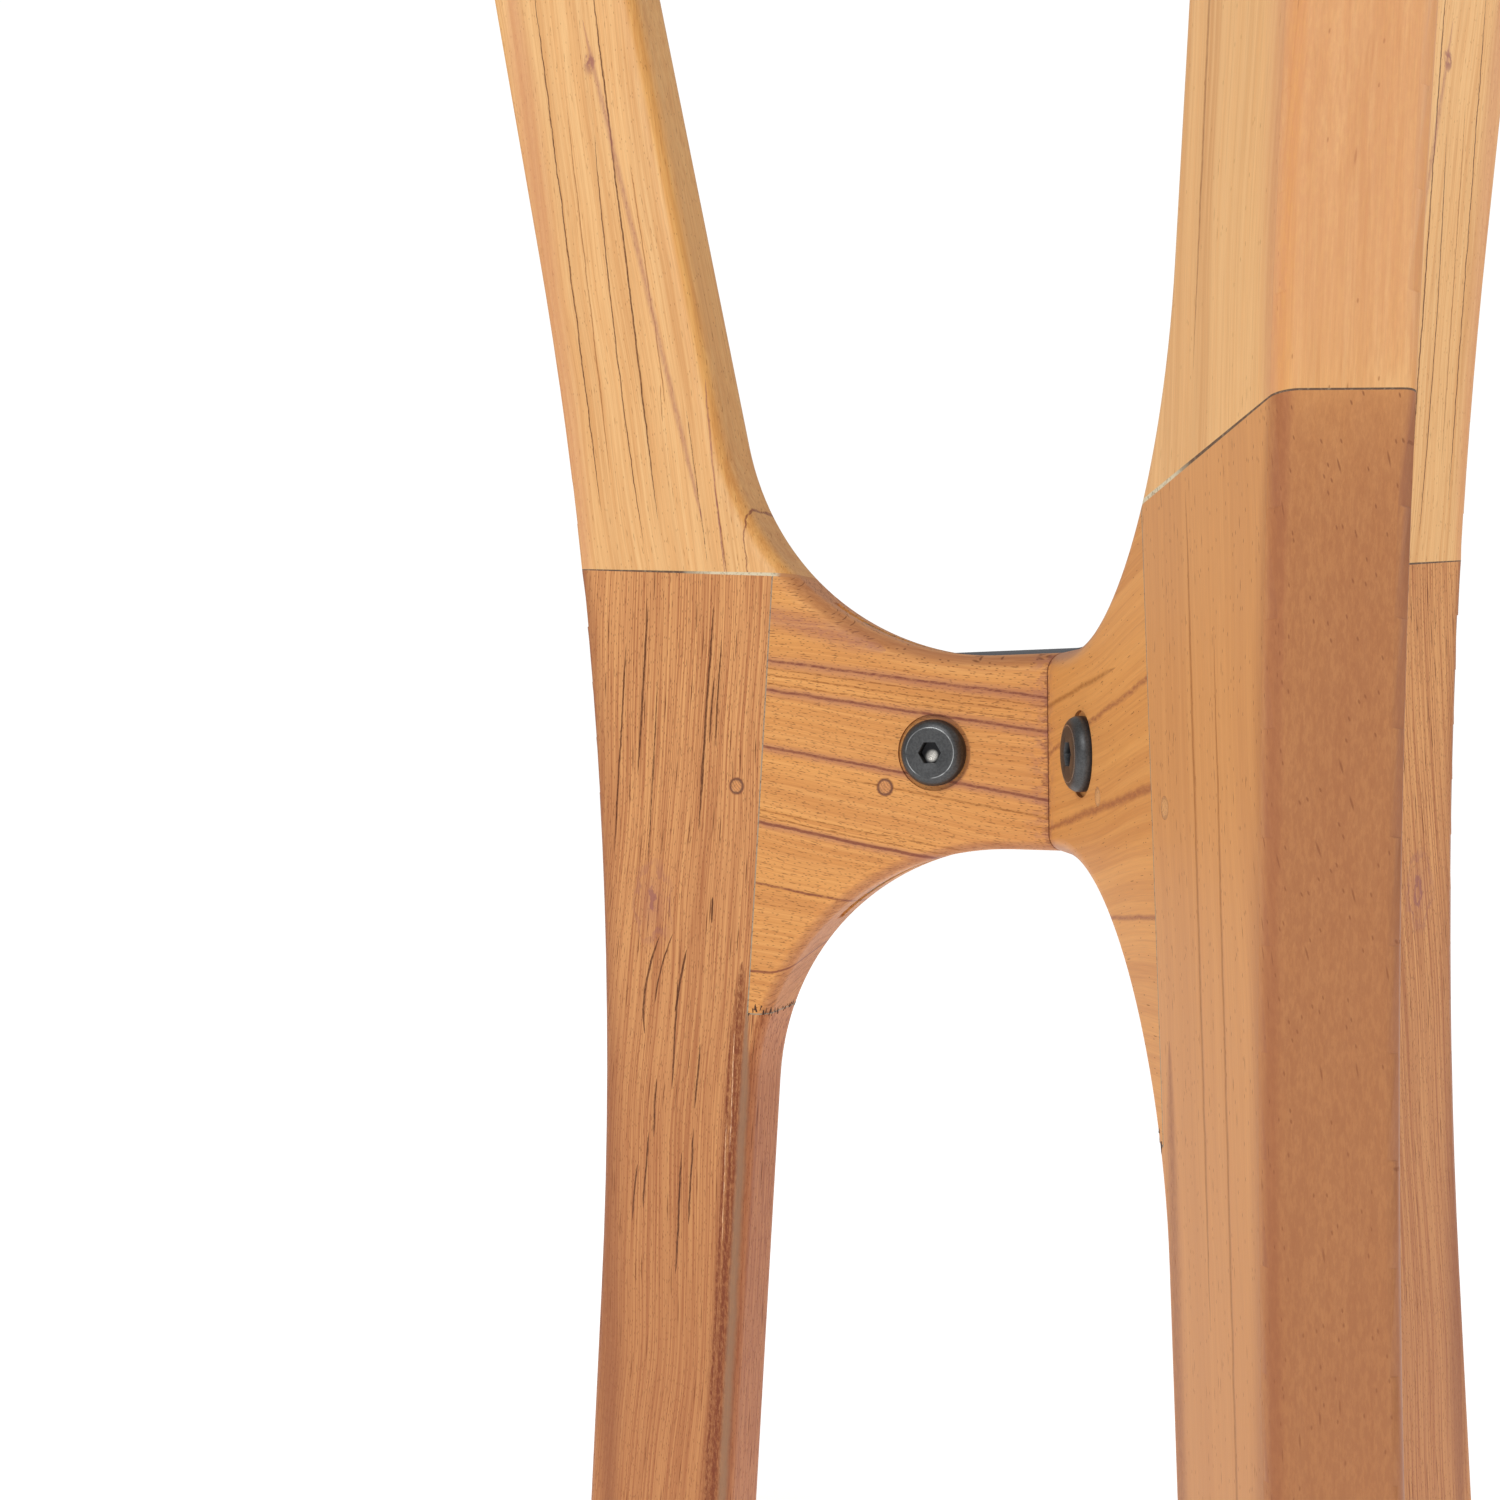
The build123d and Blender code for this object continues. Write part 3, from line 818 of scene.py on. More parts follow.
    def marked(self, wiring: Wiring, colour: Socket, height: Socket, board: Socket) -> tuple[Socket, Socket]:
        """Adds the board's grain marks, painted sheen and highlight lines among them.

        Args:
            wiring: the material's wiring.
            colour: the colour so far.
            height: the height so far.
            board: the board's coordinates.

        Returns:
            The colour and the height with the marks.
        """
        wander = wiring.minus(wiring.noise(board, self.wander_cells, 3.0, 0.6), 0.5)
        wander = wiring.times(wander, 2.0)
        grit = wiring.step(wiring.noise(board, self.grit_cells, 3.0, 0.7), 0.36, 0.6)
        for mark in self.marks:
            tone, strength, depth = mark.tone.value
            line = GrainMark.place(
                wiring, Vector=board, Start=mark.start, End=mark.end,
                At_Start=mark.at_start, At_End=mark.at_end, Bow=mark.bow, Width=mark.width, Soft=mark.soft,
                Tilt=mark.tilt, Face=mark.face, Broken=mark.broken, Wobble=mark.wobble,
                Wander=wander, Grit=grit,
            ).outputs["Mask"]
            colour = wiring.mix(wiring.times(line, strength), colour, tone)
            if depth:
                height = wiring.minus(height, wiring.times(line, depth))
        return colour, height

    def material(self, leg: int) -> Material:
        """The finish as a material for one leg's board.

        Args:
            leg: the leg's number.

        Returns:
            The material.
        """
        made, wiring, shader = new_material(f"{self.name}_{leg}")
        place = wiring.leg_space(leg)
        board = self.along_grain(wiring, place)
        turned = wiring.node("Mapping")
        wiring.feed(turned.inputs["Vector"], board)
        turned.inputs["Rotation"].default_value = (0, math.radians(-self.slope), 0)
        turned.inputs["Location"].default_value = tuple(step * leg for step in self.board_steps)
        figure = TeakFigure.place(
            wiring, Vector=turned.outputs[0], Base=self.base, Pale=self.pale, Deep=self.deep, Pore=self.pore,
            Streaks=self.streaks, Bands=self.bands, Pores=self.pores, Slits=self.slits, Comb=self.comb,
        )
        colour = figure.outputs["Color"]
        if self.fade_share:
            fall = wiring.step(wiring.split(place)[2], self.fade_from, self.fade_to)
            colour = wiring.mix(wiring.times(fall, self.fade_share), colour, self.deep)
        colour = self.paint_facing_shade(wiring, colour, leg)
        colour = self.stains_and_bore_shadow(wiring, colour, place)
        colour = self.knotted(wiring, colour, board)
        colour, height = self.marked(wiring, colour, figure.outputs["Height"], board)
        wiring.fill(
            shader, Base_Color=colour, Roughness=wiring.plus(figure.outputs["Roughness"], self.roughness),
            Normal=wiring.relief(height, self.bump, self.bump_depth), Coat_Weight=self.coat,
            Coat_Roughness=self.coat_roughness, Specular_IOR_Level=self.specular,
        )
        return made


@dataclass(frozen=True)
class PlainFinish:
    """A made surface: metal, nylon, filler or glue."""

    name: str
    base: Colour
    second: Colour
    roughness: float
    rough_spread: float = 0.1
    metallic: float = 0.0
    speck: float = 1.0              # size of its specks in mm
    low: float = 0.45
    high: float = 0.6
    bump: float = 0.1
    bump_depth: float = 0.0001

    def material(self) -> Material:
        """The finish as a material.

        Returns:
            The material, made once.
        """
        made = bpy.data.materials.get(self.name)
        if made:
            return made
        made, wiring, shader = new_material(self.name)
        place = wiring.node("TexCoord")
        scaled = wiring.node("Mapping")
        wiring.feed(scaled.inputs["Vector"], place.outputs["Object"])
        scaled.inputs["Scale"].default_value = (1 / MM,) * 3
        specks = Speckle.place(
            wiring, Vector=scaled.outputs[0], Size=self.speck, Low=self.low, High=self.high,
        ).outputs
        wiring.fill(
            shader, Base_Color=wiring.mix(specks["Mask"], self.base, self.second),
            Roughness=wiring.plus(wiring.times(specks["Clouds"], self.rough_spread), self.roughness),
            Normal=wiring.relief(specks["Mask"], self.bump, self.bump_depth), Metallic=self.metallic,
        )
        return made


UPPER_TEAK = TeakFinish(
    "teak_upper", srgb(230, 176, 116), srgb(240, 196, 138), srgb(200, 140, 84), srgb(150, 96, 44),
    slope=8.5, streaks=0.6, bands=0.45, pores=0.14, slits=0.0, coat=0.05,
    # painted shade on faces towards the axis, up or down, and on the roundings
    inward=srgb(206, 152, 92), rounding=srgb(224, 162, 90), upper=srgb(214, 158, 96), facing_shade_share=0.85, comb=0.25,
    marks=(
        Mark(215, 66, 149.5, 129.0, Tone.SLIT, 0.30, wobble=0.6),
        Mark(215, 62, 130.5, 110.9, Tone.SLIT, 0.38, wobble=0.5),
        Mark(168, 56, 129.5, 115.5, Tone.SLIT, 0.26, bow=1.2),
        Mark(178, 76, 138.6, 126.0, Tone.FAINT, 0.30),
        Mark(158, 115, 118.0, 111.5, Tone.FAINT, 0.26),
        Mark(118, 92, 111.6, 108.0, Tone.FAINT, 0.26),
        Mark(98, 88, 109.6, 109.0, Tone.FAINT, 0.22),
        Mark(90, 50, 101.6, 95.9, Tone.SLIT, 0.22, broken=0.8),
        Mark(70, 46, 93.4, 90.1, Tone.GROWTH, 0.3, broken=0.5),
        Mark(76, 42, 83.4, 83.8, Tone.GROWTH, 0.3, bow=1.2, broken=0.5, wobble=1.4),
        Mark(200, 60, 133.0, 97.0, Tone.HALO, 1.5, soft=1.0, broken=0.4),
        Mark(220, 44, 158.0, 133.5, Tone.PINK, 7.0, soft=1.0),
        Mark(98, 44, 96.6, 90.4, Tone.PURPLE, 0.35, broken=0.5),
    ),
    knots=((130.6, 188.5, 3.0),),
)
LOWER_TEAK = TeakFinish(
    "teak_lower", srgb(204, 142, 90), srgb(226, 166, 106), srgb(166, 100, 58), srgb(92, 44, 16),
    slope=-4.5, streaks=0.7, bands=0.4, pores=0.5, slits=0.75, coat=0.05,
    # painted shade on faces towards the axis, up or down, and on the roundings
    inward=srgb(192, 126, 84), rounding=srgb(184, 120, 72), upper=srgb(186, 124, 78), facing_shade_share=0.85,
    fade_share=0.45, comb=0.8, pin_out=88.0,
    marks=(
        Mark(62, -226, 136.0, 132.0, Tone.DUSK, 8.0, bow=-3.0, soft=1.0, broken=0.2),
        slit(20, -30, 111.6, 115.6, 0.24, broken=0.5),
        slit(30, 2, 91.9, 94.2, 0.28, broken=0.4),
        slit(30, -27, 121.5, 126.4, 0.31),
        slit(39.5, -5.5, 114.4, 118.4, 0.39),
        slit(38.5, -20, 94.2, 99.6, 0.39),
        slit(20, 2.7, 94.2, 96.0, 0.31),
        slit(-37.5, -44.4, 95.6, 96.1, 0.35),
        slit(-48.7, -75.4, 112.2, 117.5, 0.39, bow=1.8),
        slit(-51.7, -68.7, 103.8, 107.8, 0.39),
        slit(-47.9, -66.9, 108.1, 113.9, 0.28, bow=0.8),
        slit(-60, -89.5, 106.6, 109.0, 0.31),
        slit(-76.4, -93.8, 99.9, 102.0, 0.31),
        slit(-99, -125, 102.4, 104.5, 0.31),
        slit(-106, -139, 106.3, 108.6, 0.35),
        slit(-87, -103, 113.8, 115.0, 0.31),
        slit(-111, -127, 120.3, 122.4, 0.28),
        slit(-101.7, -122.8, 116.5, 118.7, 0.31),
        Mark(-54, -226, 87.2, 101.4, Tone.RED, 5.4, bow=-1.0, soft=1.0, broken=0.6),
        Mark(-62, -214, 88.2, 99.4, Tone.RED, 0.7, broken=0.7),
        Mark(-66, -214, 90.2, 101.6, Tone.RED, 0.6, broken=0.8),
        # painted highlight glints on the rounded inner edge
        Mark(-72, -104, 89.6, 91.5, Tone.GLINT, 0.2, broken=0.95),
        Mark(-96, -128, 92.4, 94.2, Tone.GLINT, 0.18, broken=0.95),
        # painted sheen: a grey band along the middle of the rounded inner edge
        Mark(-60, -226, 85.2, 97.8, Tone.GREY, 1.6, soft=0.8, broken=0.1),
    ),
    knots=((114.4, -40.0, 9.0),),
)
ARM_TEAK = TeakFinish(
    "teak_arm", srgb(216, 150, 82), srgb(234, 172, 102), srgb(188, 120, 66), srgb(104, 54, 24),
    lie=Lie.LEVEL, slope=9.0, streaks=0.55, bands=0.4, pores=0.8, slits=0.0, coat=0.05, mitred=True,
    # painted shade on faces towards the axis, up or down, and on the roundings
    inward=srgb(190, 126, 78), rounding=srgb(194, 132, 78), upper=srgb(192, 128, 76), facing_shade_share=0.8,
    comb=0.3, pin_out=46.5,
    marks=(
        *growth_line(-20, 110, 8.6, 28.6, halo=2.4, width=0.5, soft=0.8, broken=0.6),
        *growth_line(-20, 110, 0.6, 21.2, halo=2.2, width=0.55, soft=0.8, broken=0.4),
        Mark(-20, 110, 4.6, 25.0, Tone.FAINT, 0.3, broken=0.8),
        Mark(-20, 110, 6.4, 26.6, Tone.FAINT, 0.25, broken=0.8),
        Mark(-20, 110, 2.9, 22.6, Tone.FAINT, 0.3, broken=0.9),
        *growth_line(-20, 110, -15.6, 7.1, halo=2.0, width=0.5, soft=0.7, broken=0.3),
        Mark(-20, 60, -19.6, -6.0, Tone.FAINT, 0.4, broken=0.6),
        *growth_line(20, 110, -28.0, -12.8, halo=1.8, width=0.55, soft=0.6, broken=0.2),
        Mark(20, 110, -26.4, -11.4, Tone.FAINT, 0.3, broken=0.8),
        Mark(20, 110, -24.6, -9.8, Tone.FAINT, 0.3, broken=0.8),
        Mark(50, 110, -39.0, -30.2, Tone.GROWTH, 0.45, broken=0.5, tilt=0.1),
        Mark(52, 110, -47.0, -48.0, Tone.GROWTH, 0.45, bow=-5.0, broken=0.2, tilt=-0.35),
        Mark(46, 92, 25.0, 40.0, Tone.HALO, 4.5, soft=1.0, broken=0.5),
    ),
)
NEAR_UPPER_TEAK = replace(
    UPPER_TEAK, name="teak_upper_near", streaks=0.45, bands=0.5, pores=0.03, comb=0.1, knots=(),
    marks=(
        Mark(220, 44, 158.0, 133.5, Tone.PINK, 9.0, soft=1.0),
        Mark(215, 62, 128.0, 104.0, Tone.FAINT, 0.8, soft=1.0),
        Mark(215, 90, 112.0, 88.0, Tone.FAINT, 0.9, soft=1.0),
    ),
)
NEAR_LOWER_TEAK = replace(
    LOWER_TEAK, name="teak_lower_near", base=srgb(210, 148, 90), deep=srgb(192, 130, 80),
    streaks=0.3, pores=0.12, slits=0.0, comb=0.1, pin_out=0.0, knots=(),
    marks=(
        Mark(62, -226, 136.0, 132.0, Tone.DUSK, 8.0, bow=-3.0, soft=1.0, broken=0.2),
        Mark(-48, -226, 89.4, 101.0, Tone.DUSK, 5.2, bow=-1.2, soft=1.0, broken=0.35),
        Mark(44, -90, 100.0, 108.0, Tone.FAINT, 0.8, soft=1.0),
        Mark(20, -160, 112.0, 121.0, Tone.FAINT, 0.7, soft=1.0),
    ),
)
NEAR_ARM_TEAK = replace(
    ARM_TEAK, name="teak_arm_near", streaks=0.4, bands=0.45, pores=0.08, comb=0.1, pin_out=0.0,
    marks=(
        Mark(-6, 104, -2.6, 19.0, Tone.BLUR, 1.1, soft=1.0, broken=0.5, wobble=1.2),
        Mark(2, 104, -18.4, -1.2, Tone.BLUR, 1.5, soft=1.0, broken=0.4, wobble=1.0),
        Mark(30, 104, -35.0, -25.0, Tone.BLUR, 0.8, soft=1.0, broken=0.3),
        Mark(-6, 60, 9.0, 17.0, Tone.FAINT, 1.0, soft=1.0, broken=0.5),
    ),
)
TENON_WOOD = TeakFinish(
    "tenon_wood", srgb(206, 176, 134), srgb(222, 196, 152), srgb(180, 146, 104), srgb(130, 96, 62),
    streaks=0.4, bands=0.3, pores=0.3, slits=0.0,
)
SPIDER_STEEL = PlainFinish(
    "spider_steel", srgb(66, 72, 78), srgb(48, 52, 58), 0.42, 0.2, metallic=0.7, speck=0.6, bump=0.2,
)
BRASS = PlainFinish(
    "insert_brass", srgb(206, 170, 96), srgb(176, 138, 70), 0.3, 0.2, metallic=1.0, speck=0.5, bump=0.1,
)
NYLON = PlainFinish("glide_nylon", srgb(58, 56, 54), srgb(48, 46, 44), 0.5, 0.15, speck=0.3, bump=0.25)
TORN = PlainFinish("torn_fibres", srgb(84, 48, 28), srgb(52, 30, 18), 0.7, speck=0.4, bump=0.5)
ZINC = PlainFinish(
    "screw_zinc", srgb(176, 178, 176), srgb(150, 150, 146), 0.32, 0.2, metallic=1.0, speck=0.4, bump=0.1,
)


@dataclass(frozen=True)
class SeamFinish:
    """Filler or glue in a seam: one colour that gives way to another along the leg's radius, with specks."""

    name: str
    outer: Colour
    inner: Colour
    speck_colour: Colour
    change: float                   # radius at which one colour gives way to the other
    spread: float = 5.0
    speck: float = 0.7
    low: float = 0.5
    high: float = 0.64
    wood: Colour | None = None      # colour inside the radius where it thins out
    thin: float = 0.0
    speck_share: float = 0.7
    roughness: float = 0.6
    bump: float = 0.5
    bump_depth: float = 0.0002

    def material(self, leg: int) -> Material:
        """The finish for one leg's seam.

        Args:
            leg: the leg's number.

        Returns:
            The material.
        """
        made, wiring, shader = new_material(f"{self.name}_{leg}")
        place = wiring.leg_space(leg)
        out = wiring.split(place)[0]
        specks = Speckle.place(wiring, Vector=place, Size=self.speck, Low=self.low, High=self.high).outputs
        drift = wiring.times(wiring.minus(specks["Clouds"], 0.5), 2 * self.spread)
        share = wiring.step(wiring.plus(out, drift), self.change - self.spread, self.change + self.spread)
        colour = wiring.mix(share, self.inner, self.outer)
        colour = wiring.mix(wiring.times(specks["Mask"], self.speck_share), colour, self.speck_colour)
        if self.wood:
            gone = wiring.step(out, self.thin + 1.0, self.thin - 1.0)
            colour = wiring.mix(gone, colour, self.wood)
        wiring.fill(
            shader, Base_Color=colour,
            Roughness=wiring.plus(wiring.times(specks["Mask"], 0.2), self.roughness),
            Normal=wiring.relief(specks["Clouds"], self.bump, self.bump_depth),
        )
        return made


FILLER = SeamFinish(
    "filler_putty", srgb(96, 70, 50), srgb(214, 200, 168), srgb(150, 128, 100), change=99.0,
    wood=srgb(186, 128, 80), thin=75.5,
)
GLUE = SeamFinish(
    "glue_line", srgb(160, 146, 122), srgb(150, 134, 112), srgb(74, 58, 50), change=80.4, speck=1.1,
)


@dataclass(frozen=True)
class HeadFinish:
    """Black oxide on a turned head, with a painted highlight ring round its flat face, painted shade in its
    socket and a painted highlight on the socket's floor.
    """

    base: Colour = srgb(84, 85, 86)
    cloud: Colour = srgb(72, 73, 74)
    # colour of the painted highlight ring round the flat face
    painted_highlight: Colour = srgb(190, 192, 192)
    # colour of the painted highlight spot on the socket's floor
    floor: Colour = srgb(226, 222, 214)
    # colour of the painted shade inside the hex socket
    shade: Colour = srgb(24, 24, 26)
    spot_radius: float = 1.75       # painted highlight spot on the socket's floor
    spot_shift: float = -0.4        # towards the axis of the base
    spot_drop: float = 0.75
    highlight_ring_width: float = 0.16        # half the painted highlight ring round the flat face
    ring_pitch: float = 0.22        # of the marks of the turning tool
    roughness: float = 0.4
    highlight_gloss: float = 0.16            # roughness lost where the highlights are painted
    metallic: float = 0.8
    bump: float = 0.25
    bump_depth: float = 0.00002

    def material(self, leg: int, head: "ConnectorHead") -> Material:
        """The finish for the heads of one leg.

        Args:
            leg: the leg's number.
            head: the head's sizes.

        Returns:
            The material, made once for each leg.
        """
        name = f"black_oxide_head_{leg}"
        made = bpy.data.materials.get(name)
        if made:
            return made
        made, wiring, shader = new_material(name)
        place = wiring.leg_space(leg)
        turned = Round.place(wiring, Vector=place, Out=head.out, Up=0.0, Pitch=self.ring_pitch).outputs
        radius = turned["Radius"]
        specks = Speckle.place(wiring, Vector=place, Size=0.5, Low=0.4, High=0.62).outputs
        colour = wiring.mix(specks["Mask"], self.base, self.cloud)
        far = wiring.math("ABSOLUTE", wiring.minus(radius, head.flat_radius + 0.02))
        # painted highlight: a pale ring round the flat face
        edge = wiring.times(wiring.step(far, self.highlight_ring_width, 0.03), wiring.step(specks["Clouds"], 0.3, 0.55))
        colour = wiring.mix(wiring.times(edge, 0.75), colour, self.painted_highlight)
        depth = wiring.minus(head.top, wiring.math("ABSOLUTE", wiring.split(place)[1]))
        # painted shade: darker deeper in the hex socket
        socket_shade = wiring.step(radius, head.socket * 0.6, head.socket * 0.55)
        socket_shade = wiring.times(socket_shade, wiring.step(depth, 0.2, 1.2))
        colour = wiring.mix(wiring.times(socket_shade, 0.85), colour, self.shade)
        # painted highlight: a pale spot on the socket's floor, off its middle
        spot_out = head.out - self.spot_shift
        highlight_spot = Round.place(wiring, Vector=place, Out=spot_out, Up=-self.spot_drop, Pitch=1.0)
        near = wiring.step(highlight_spot.outputs["Radius"], self.spot_radius, self.spot_radius * 0.35)
        inside = wiring.times(near, wiring.step(depth, head.socket_depth - 0.7, head.socket_depth - 0.1))
        colour = wiring.mix(wiring.times(inside, 0.9), colour, self.floor)
        rings = wiring.times(turned["Rings"], wiring.step(radius, head.flat_radius, head.flat_radius - 0.3))
        highlight_gloss = wiring.times(wiring.math("MAXIMUM", edge, inside), self.highlight_gloss)
        wiring.fill(
            shader, Base_Color=colour, Roughness=wiring.minus(self.roughness, highlight_gloss),
            Normal=wiring.relief(wiring.plus(rings, specks["Mask"]), self.bump, self.bump_depth),
            Metallic=self.metallic,
        )
        return made


@dataclass(frozen=True)
class PinFinish:
    """End grain of a small wood pin, with glue round it."""

    wood: Colour = srgb(214, 146, 84)
    ring: Colour = srgb(112, 62, 34)
    glue: Colour = srgb(176, 112, 62)
    bold: float = 0.9               # how dark the glue ring is
    growth_pitch: float = 0.7       # between the growth rings of its end grain
    growth_share: float = 0.7
    speck_share: float = 0.6
    roughness: float = 0.42
    coat: float = 0.2
    bump: float = 0.5
    bump_depth: float = 0.0002

    def material(self, name: str, leg: int, out: float, up: float, radius: float) -> Material:
        """The finish for one pin.

        Args:
            name: the material's name.
            leg: the leg's number.
            out, up: the pin's axis in the leg, in mm.
            radius: the pin's radius in mm.

        Returns:
            The material.
        """
        made, wiring, shader = new_material(name)
        place = wiring.leg_space(leg)
        end = Round.place(wiring, Vector=place, Out=out, Up=up, Pitch=1.0).outputs
        growth = Round.place(
            wiring, Vector=place, Out=out - 3.0, Up=up + 2.5, Pitch=self.growth_pitch,
        ).outputs
        specks = Speckle.place(wiring, Vector=place, Size=0.22, Low=0.5, High=0.68).outputs
        rings = wiring.times(wiring.step(growth["Rings"], 0.1, 0.9), self.growth_share)
        colour = wiring.mix(rings, self.wood, self.glue)
        colour = wiring.mix(wiring.times(specks["Mask"], self.speck_share), colour, self.ring)
        ragged = wiring.times(wiring.minus(specks["Clouds"], 0.5), 0.8)
        rim = wiring.step(wiring.plus(end["Radius"], ragged), radius - 0.75, radius - 0.25)
        colour = wiring.mix(wiring.times(rim, self.bold), colour, self.ring)
        height = wiring.minus(1.0, wiring.plus(specks["Mask"], rim))
        wiring.fill(
            shader, Base_Color=colour,
            Roughness=wiring.plus(wiring.times(specks["Mask"], 0.2), self.roughness),
            Normal=wiring.relief(height, self.bump, self.bump_depth), Coat_Weight=self.coat,
        )
        return made


NEAR_PIN = PinFinish(wood=srgb(222, 164, 104), ring=srgb(160, 104, 62), glue=srgb(206, 148, 92), bold=0.5)


class Bench:
    """Short calls for modelling with Blender's own tools. Sizes are in millimetres."""

    @staticmethod
    def turn(name: str, outline: Outline, steps: int = 64) -> Piece:
        """Turns an outline about the vertical axis, as on a lathe.

        Args:
            name: the piece's name.
            outline: points as (radius, height).
            steps: sides of the turned piece.

        Returns:
            The closed piece.
        """
        bpy.ops.object.select_all(action="DESELECT")
        bpy.ops.mesh.primitive_plane_add(size=MM, location=(0, 0, 0))
        piece = bpy.context.object
        piece.name = name
        bpy.ops.object.mode_set(mode="EDIT")
        bpy.ops.mesh.select_mode(type="VERT")
        bpy.ops.mesh.select_all(action="SELECT")
        bpy.ops.mesh.merge(type="CENTER")
        bpy.ops.transform.translate(value=(outline[0][0] * MM, 0, outline[0][1] * MM))
        for start, end in zip(outline, outline[1:]):
            move = ((end[0] - start[0]) * MM, 0, (end[1] - start[1]) * MM)
            bpy.ops.mesh.extrude_region_move(TRANSFORM_OT_translate={"value": move})
        bpy.ops.mesh.select_all(action="SELECT")
        bpy.ops.mesh.spin(steps=steps, angle=2 * math.pi, center=(0, 0, 0), axis=(0, 0, 1))
        bpy.ops.mesh.select_all(action="SELECT")
        bpy.ops.mesh.remove_doubles(threshold=0.002 * MM)
        bpy.ops.mesh.normals_make_consistent(inside=False)
        bpy.ops.object.mode_set(mode="OBJECT")
        return piece

    @staticmethod
    def socket_cutter(across: float, top: float, depth: float) -> Piece:
        """A hexagonal cutter with a drill point, standing on the vertical axis.

        Args:
            across: width across the flats.
            top: height of the face it cuts into.
            depth: depth of the hexagon.

        Returns:
            The cutter.
        """
        bpy.ops.object.select_all(action="DESELECT")
        bpy.ops.mesh.primitive_cylinder_add(
            vertices=6, radius=across / math.sqrt(3) * MM, depth=2 * depth * MM, location=(0, 0, top * MM),
            rotation=(0, 0, math.radians(30)),
        )
        cutter = bpy.context.object
        bpy.ops.object.transform_apply(location=True, rotation=True, scale=True)
        bpy.ops.object.mode_set(mode="EDIT")
        bpy.ops.mesh.select_all(action="DESELECT")
        bpy.ops.object.mode_set(mode="OBJECT")
        for polygon in cutter.data.polygons:
            polygon.select = polygon.normal.z < -0.9
        bpy.ops.object.mode_set(mode="EDIT")
        bpy.ops.mesh.select_mode(type="FACE")
        bpy.ops.mesh.inset(thickness=across * 0.06 * MM)
        bpy.ops.mesh.extrude_region_move(TRANSFORM_OT_translate={"value": (0, 0, -across * 0.25 * MM)})
        bpy.ops.mesh.merge(type="CENTER")
        bpy.ops.object.mode_set(mode="OBJECT")
        return cutter

    @staticmethod
    def cross_cutter(length: float, width: float, top: float, depth: float) -> Piece:
        """A tapered cross, for the drive of a screw.

        Args:
            length, width: size of each arm at the top.
            top: height of the face it cuts into.
            depth: how deep it goes.

        Returns:
            The cutter.
        """
        arms = []
        for turn in (0, 90):
            bpy.ops.object.select_all(action="DESELECT")
            bpy.ops.mesh.primitive_cube_add(
                size=2 * depth * MM, location=(0, 0, top * MM), rotation=(0, 0, math.radians(turn)),
            )
            arm = bpy.context.object
            arm.scale = (length / (2 * depth), width / (2 * depth), 1)
            bpy.ops.object.transform_apply(location=True, rotation=True, scale=True)
            for polygon in arm.data.polygons:
                polygon.select = polygon.normal.z < -0.9
            bpy.ops.object.mode_set(mode="EDIT")
            bpy.ops.transform.resize(value=(0.45, 0.45, 1))
            bpy.ops.object.mode_set(mode="OBJECT")
            arms.append(arm)
        joined = arms[0].modifiers.new("cross", "BOOLEAN")
        joined.operation, joined.object = "UNION", arms[1]
        bpy.context.view_layer.objects.active = arms[0]
        bpy.ops.object.modifier_apply(modifier=joined.name)
        bpy.data.objects.remove(arms[1])
        return arms[0]

    @staticmethod
    def cut(piece: Piece, cutter: Piece) -> None:
        """Cuts one piece with another.

        Args:
            piece: the piece.
            cutter: what is cut out of it. It is used up.
        """
        change = piece.modifiers.new("cut", "BOOLEAN")
        change.operation, change.solver, change.object = "DIFFERENCE", "EXACT", cutter
        bpy.context.view_layer.objects.active = piece
        bpy.ops.object.modifier_apply(modifier=change.name)
        bpy.data.objects.remove(cutter)

    @staticmethod
    def soften(piece: Piece, width: float, angle: float = 35.0) -> None:
        """Rounds a piece's sharp edges and shades it smooth.

        Args:
            piece: the piece.
            width: width of the rounding.
            angle: smallest angle that counts as sharp, in degrees.
        """
        change = piece.modifiers.new("soften", "BEVEL")
        change.width, change.segments = width * MM, 2
        change.limit_method, change.angle_limit = "ANGLE", math.radians(angle)
        bpy.context.view_layer.objects.active = piece
        bpy.ops.object.modifier_apply(modifier=change.name)
        bpy.ops.object.select_all(action="DESELECT")
        piece.select_set(True)
        bpy.ops.object.shade_smooth_by_angle(angle=math.radians(38))

    @staticmethod
    def fit(master: Piece, name: str, place: Matrix, material: Material, slot: str, *nodes: str) -> None:
        """Puts a copy of a finished piece where it belongs.

        Args:
            master: the piece, at the origin.
            name: the copy's name.
            place: where the copy goes, in metres.
            material: its finish.
            slot: a material slot's name; not used.
            nodes: the CAD nodes it stands for.
        """
        made = bpy.data.objects.new(name, master.data.copy())
        bpy.context.scene.collection.objects.link(made)
        made.data.transform(place)
        made.data.materials.clear()
        made.data.materials.append(material)
        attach(made, "root")
        if nodes:
            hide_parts(*nodes)
        LOG.info("%s fitted", name)


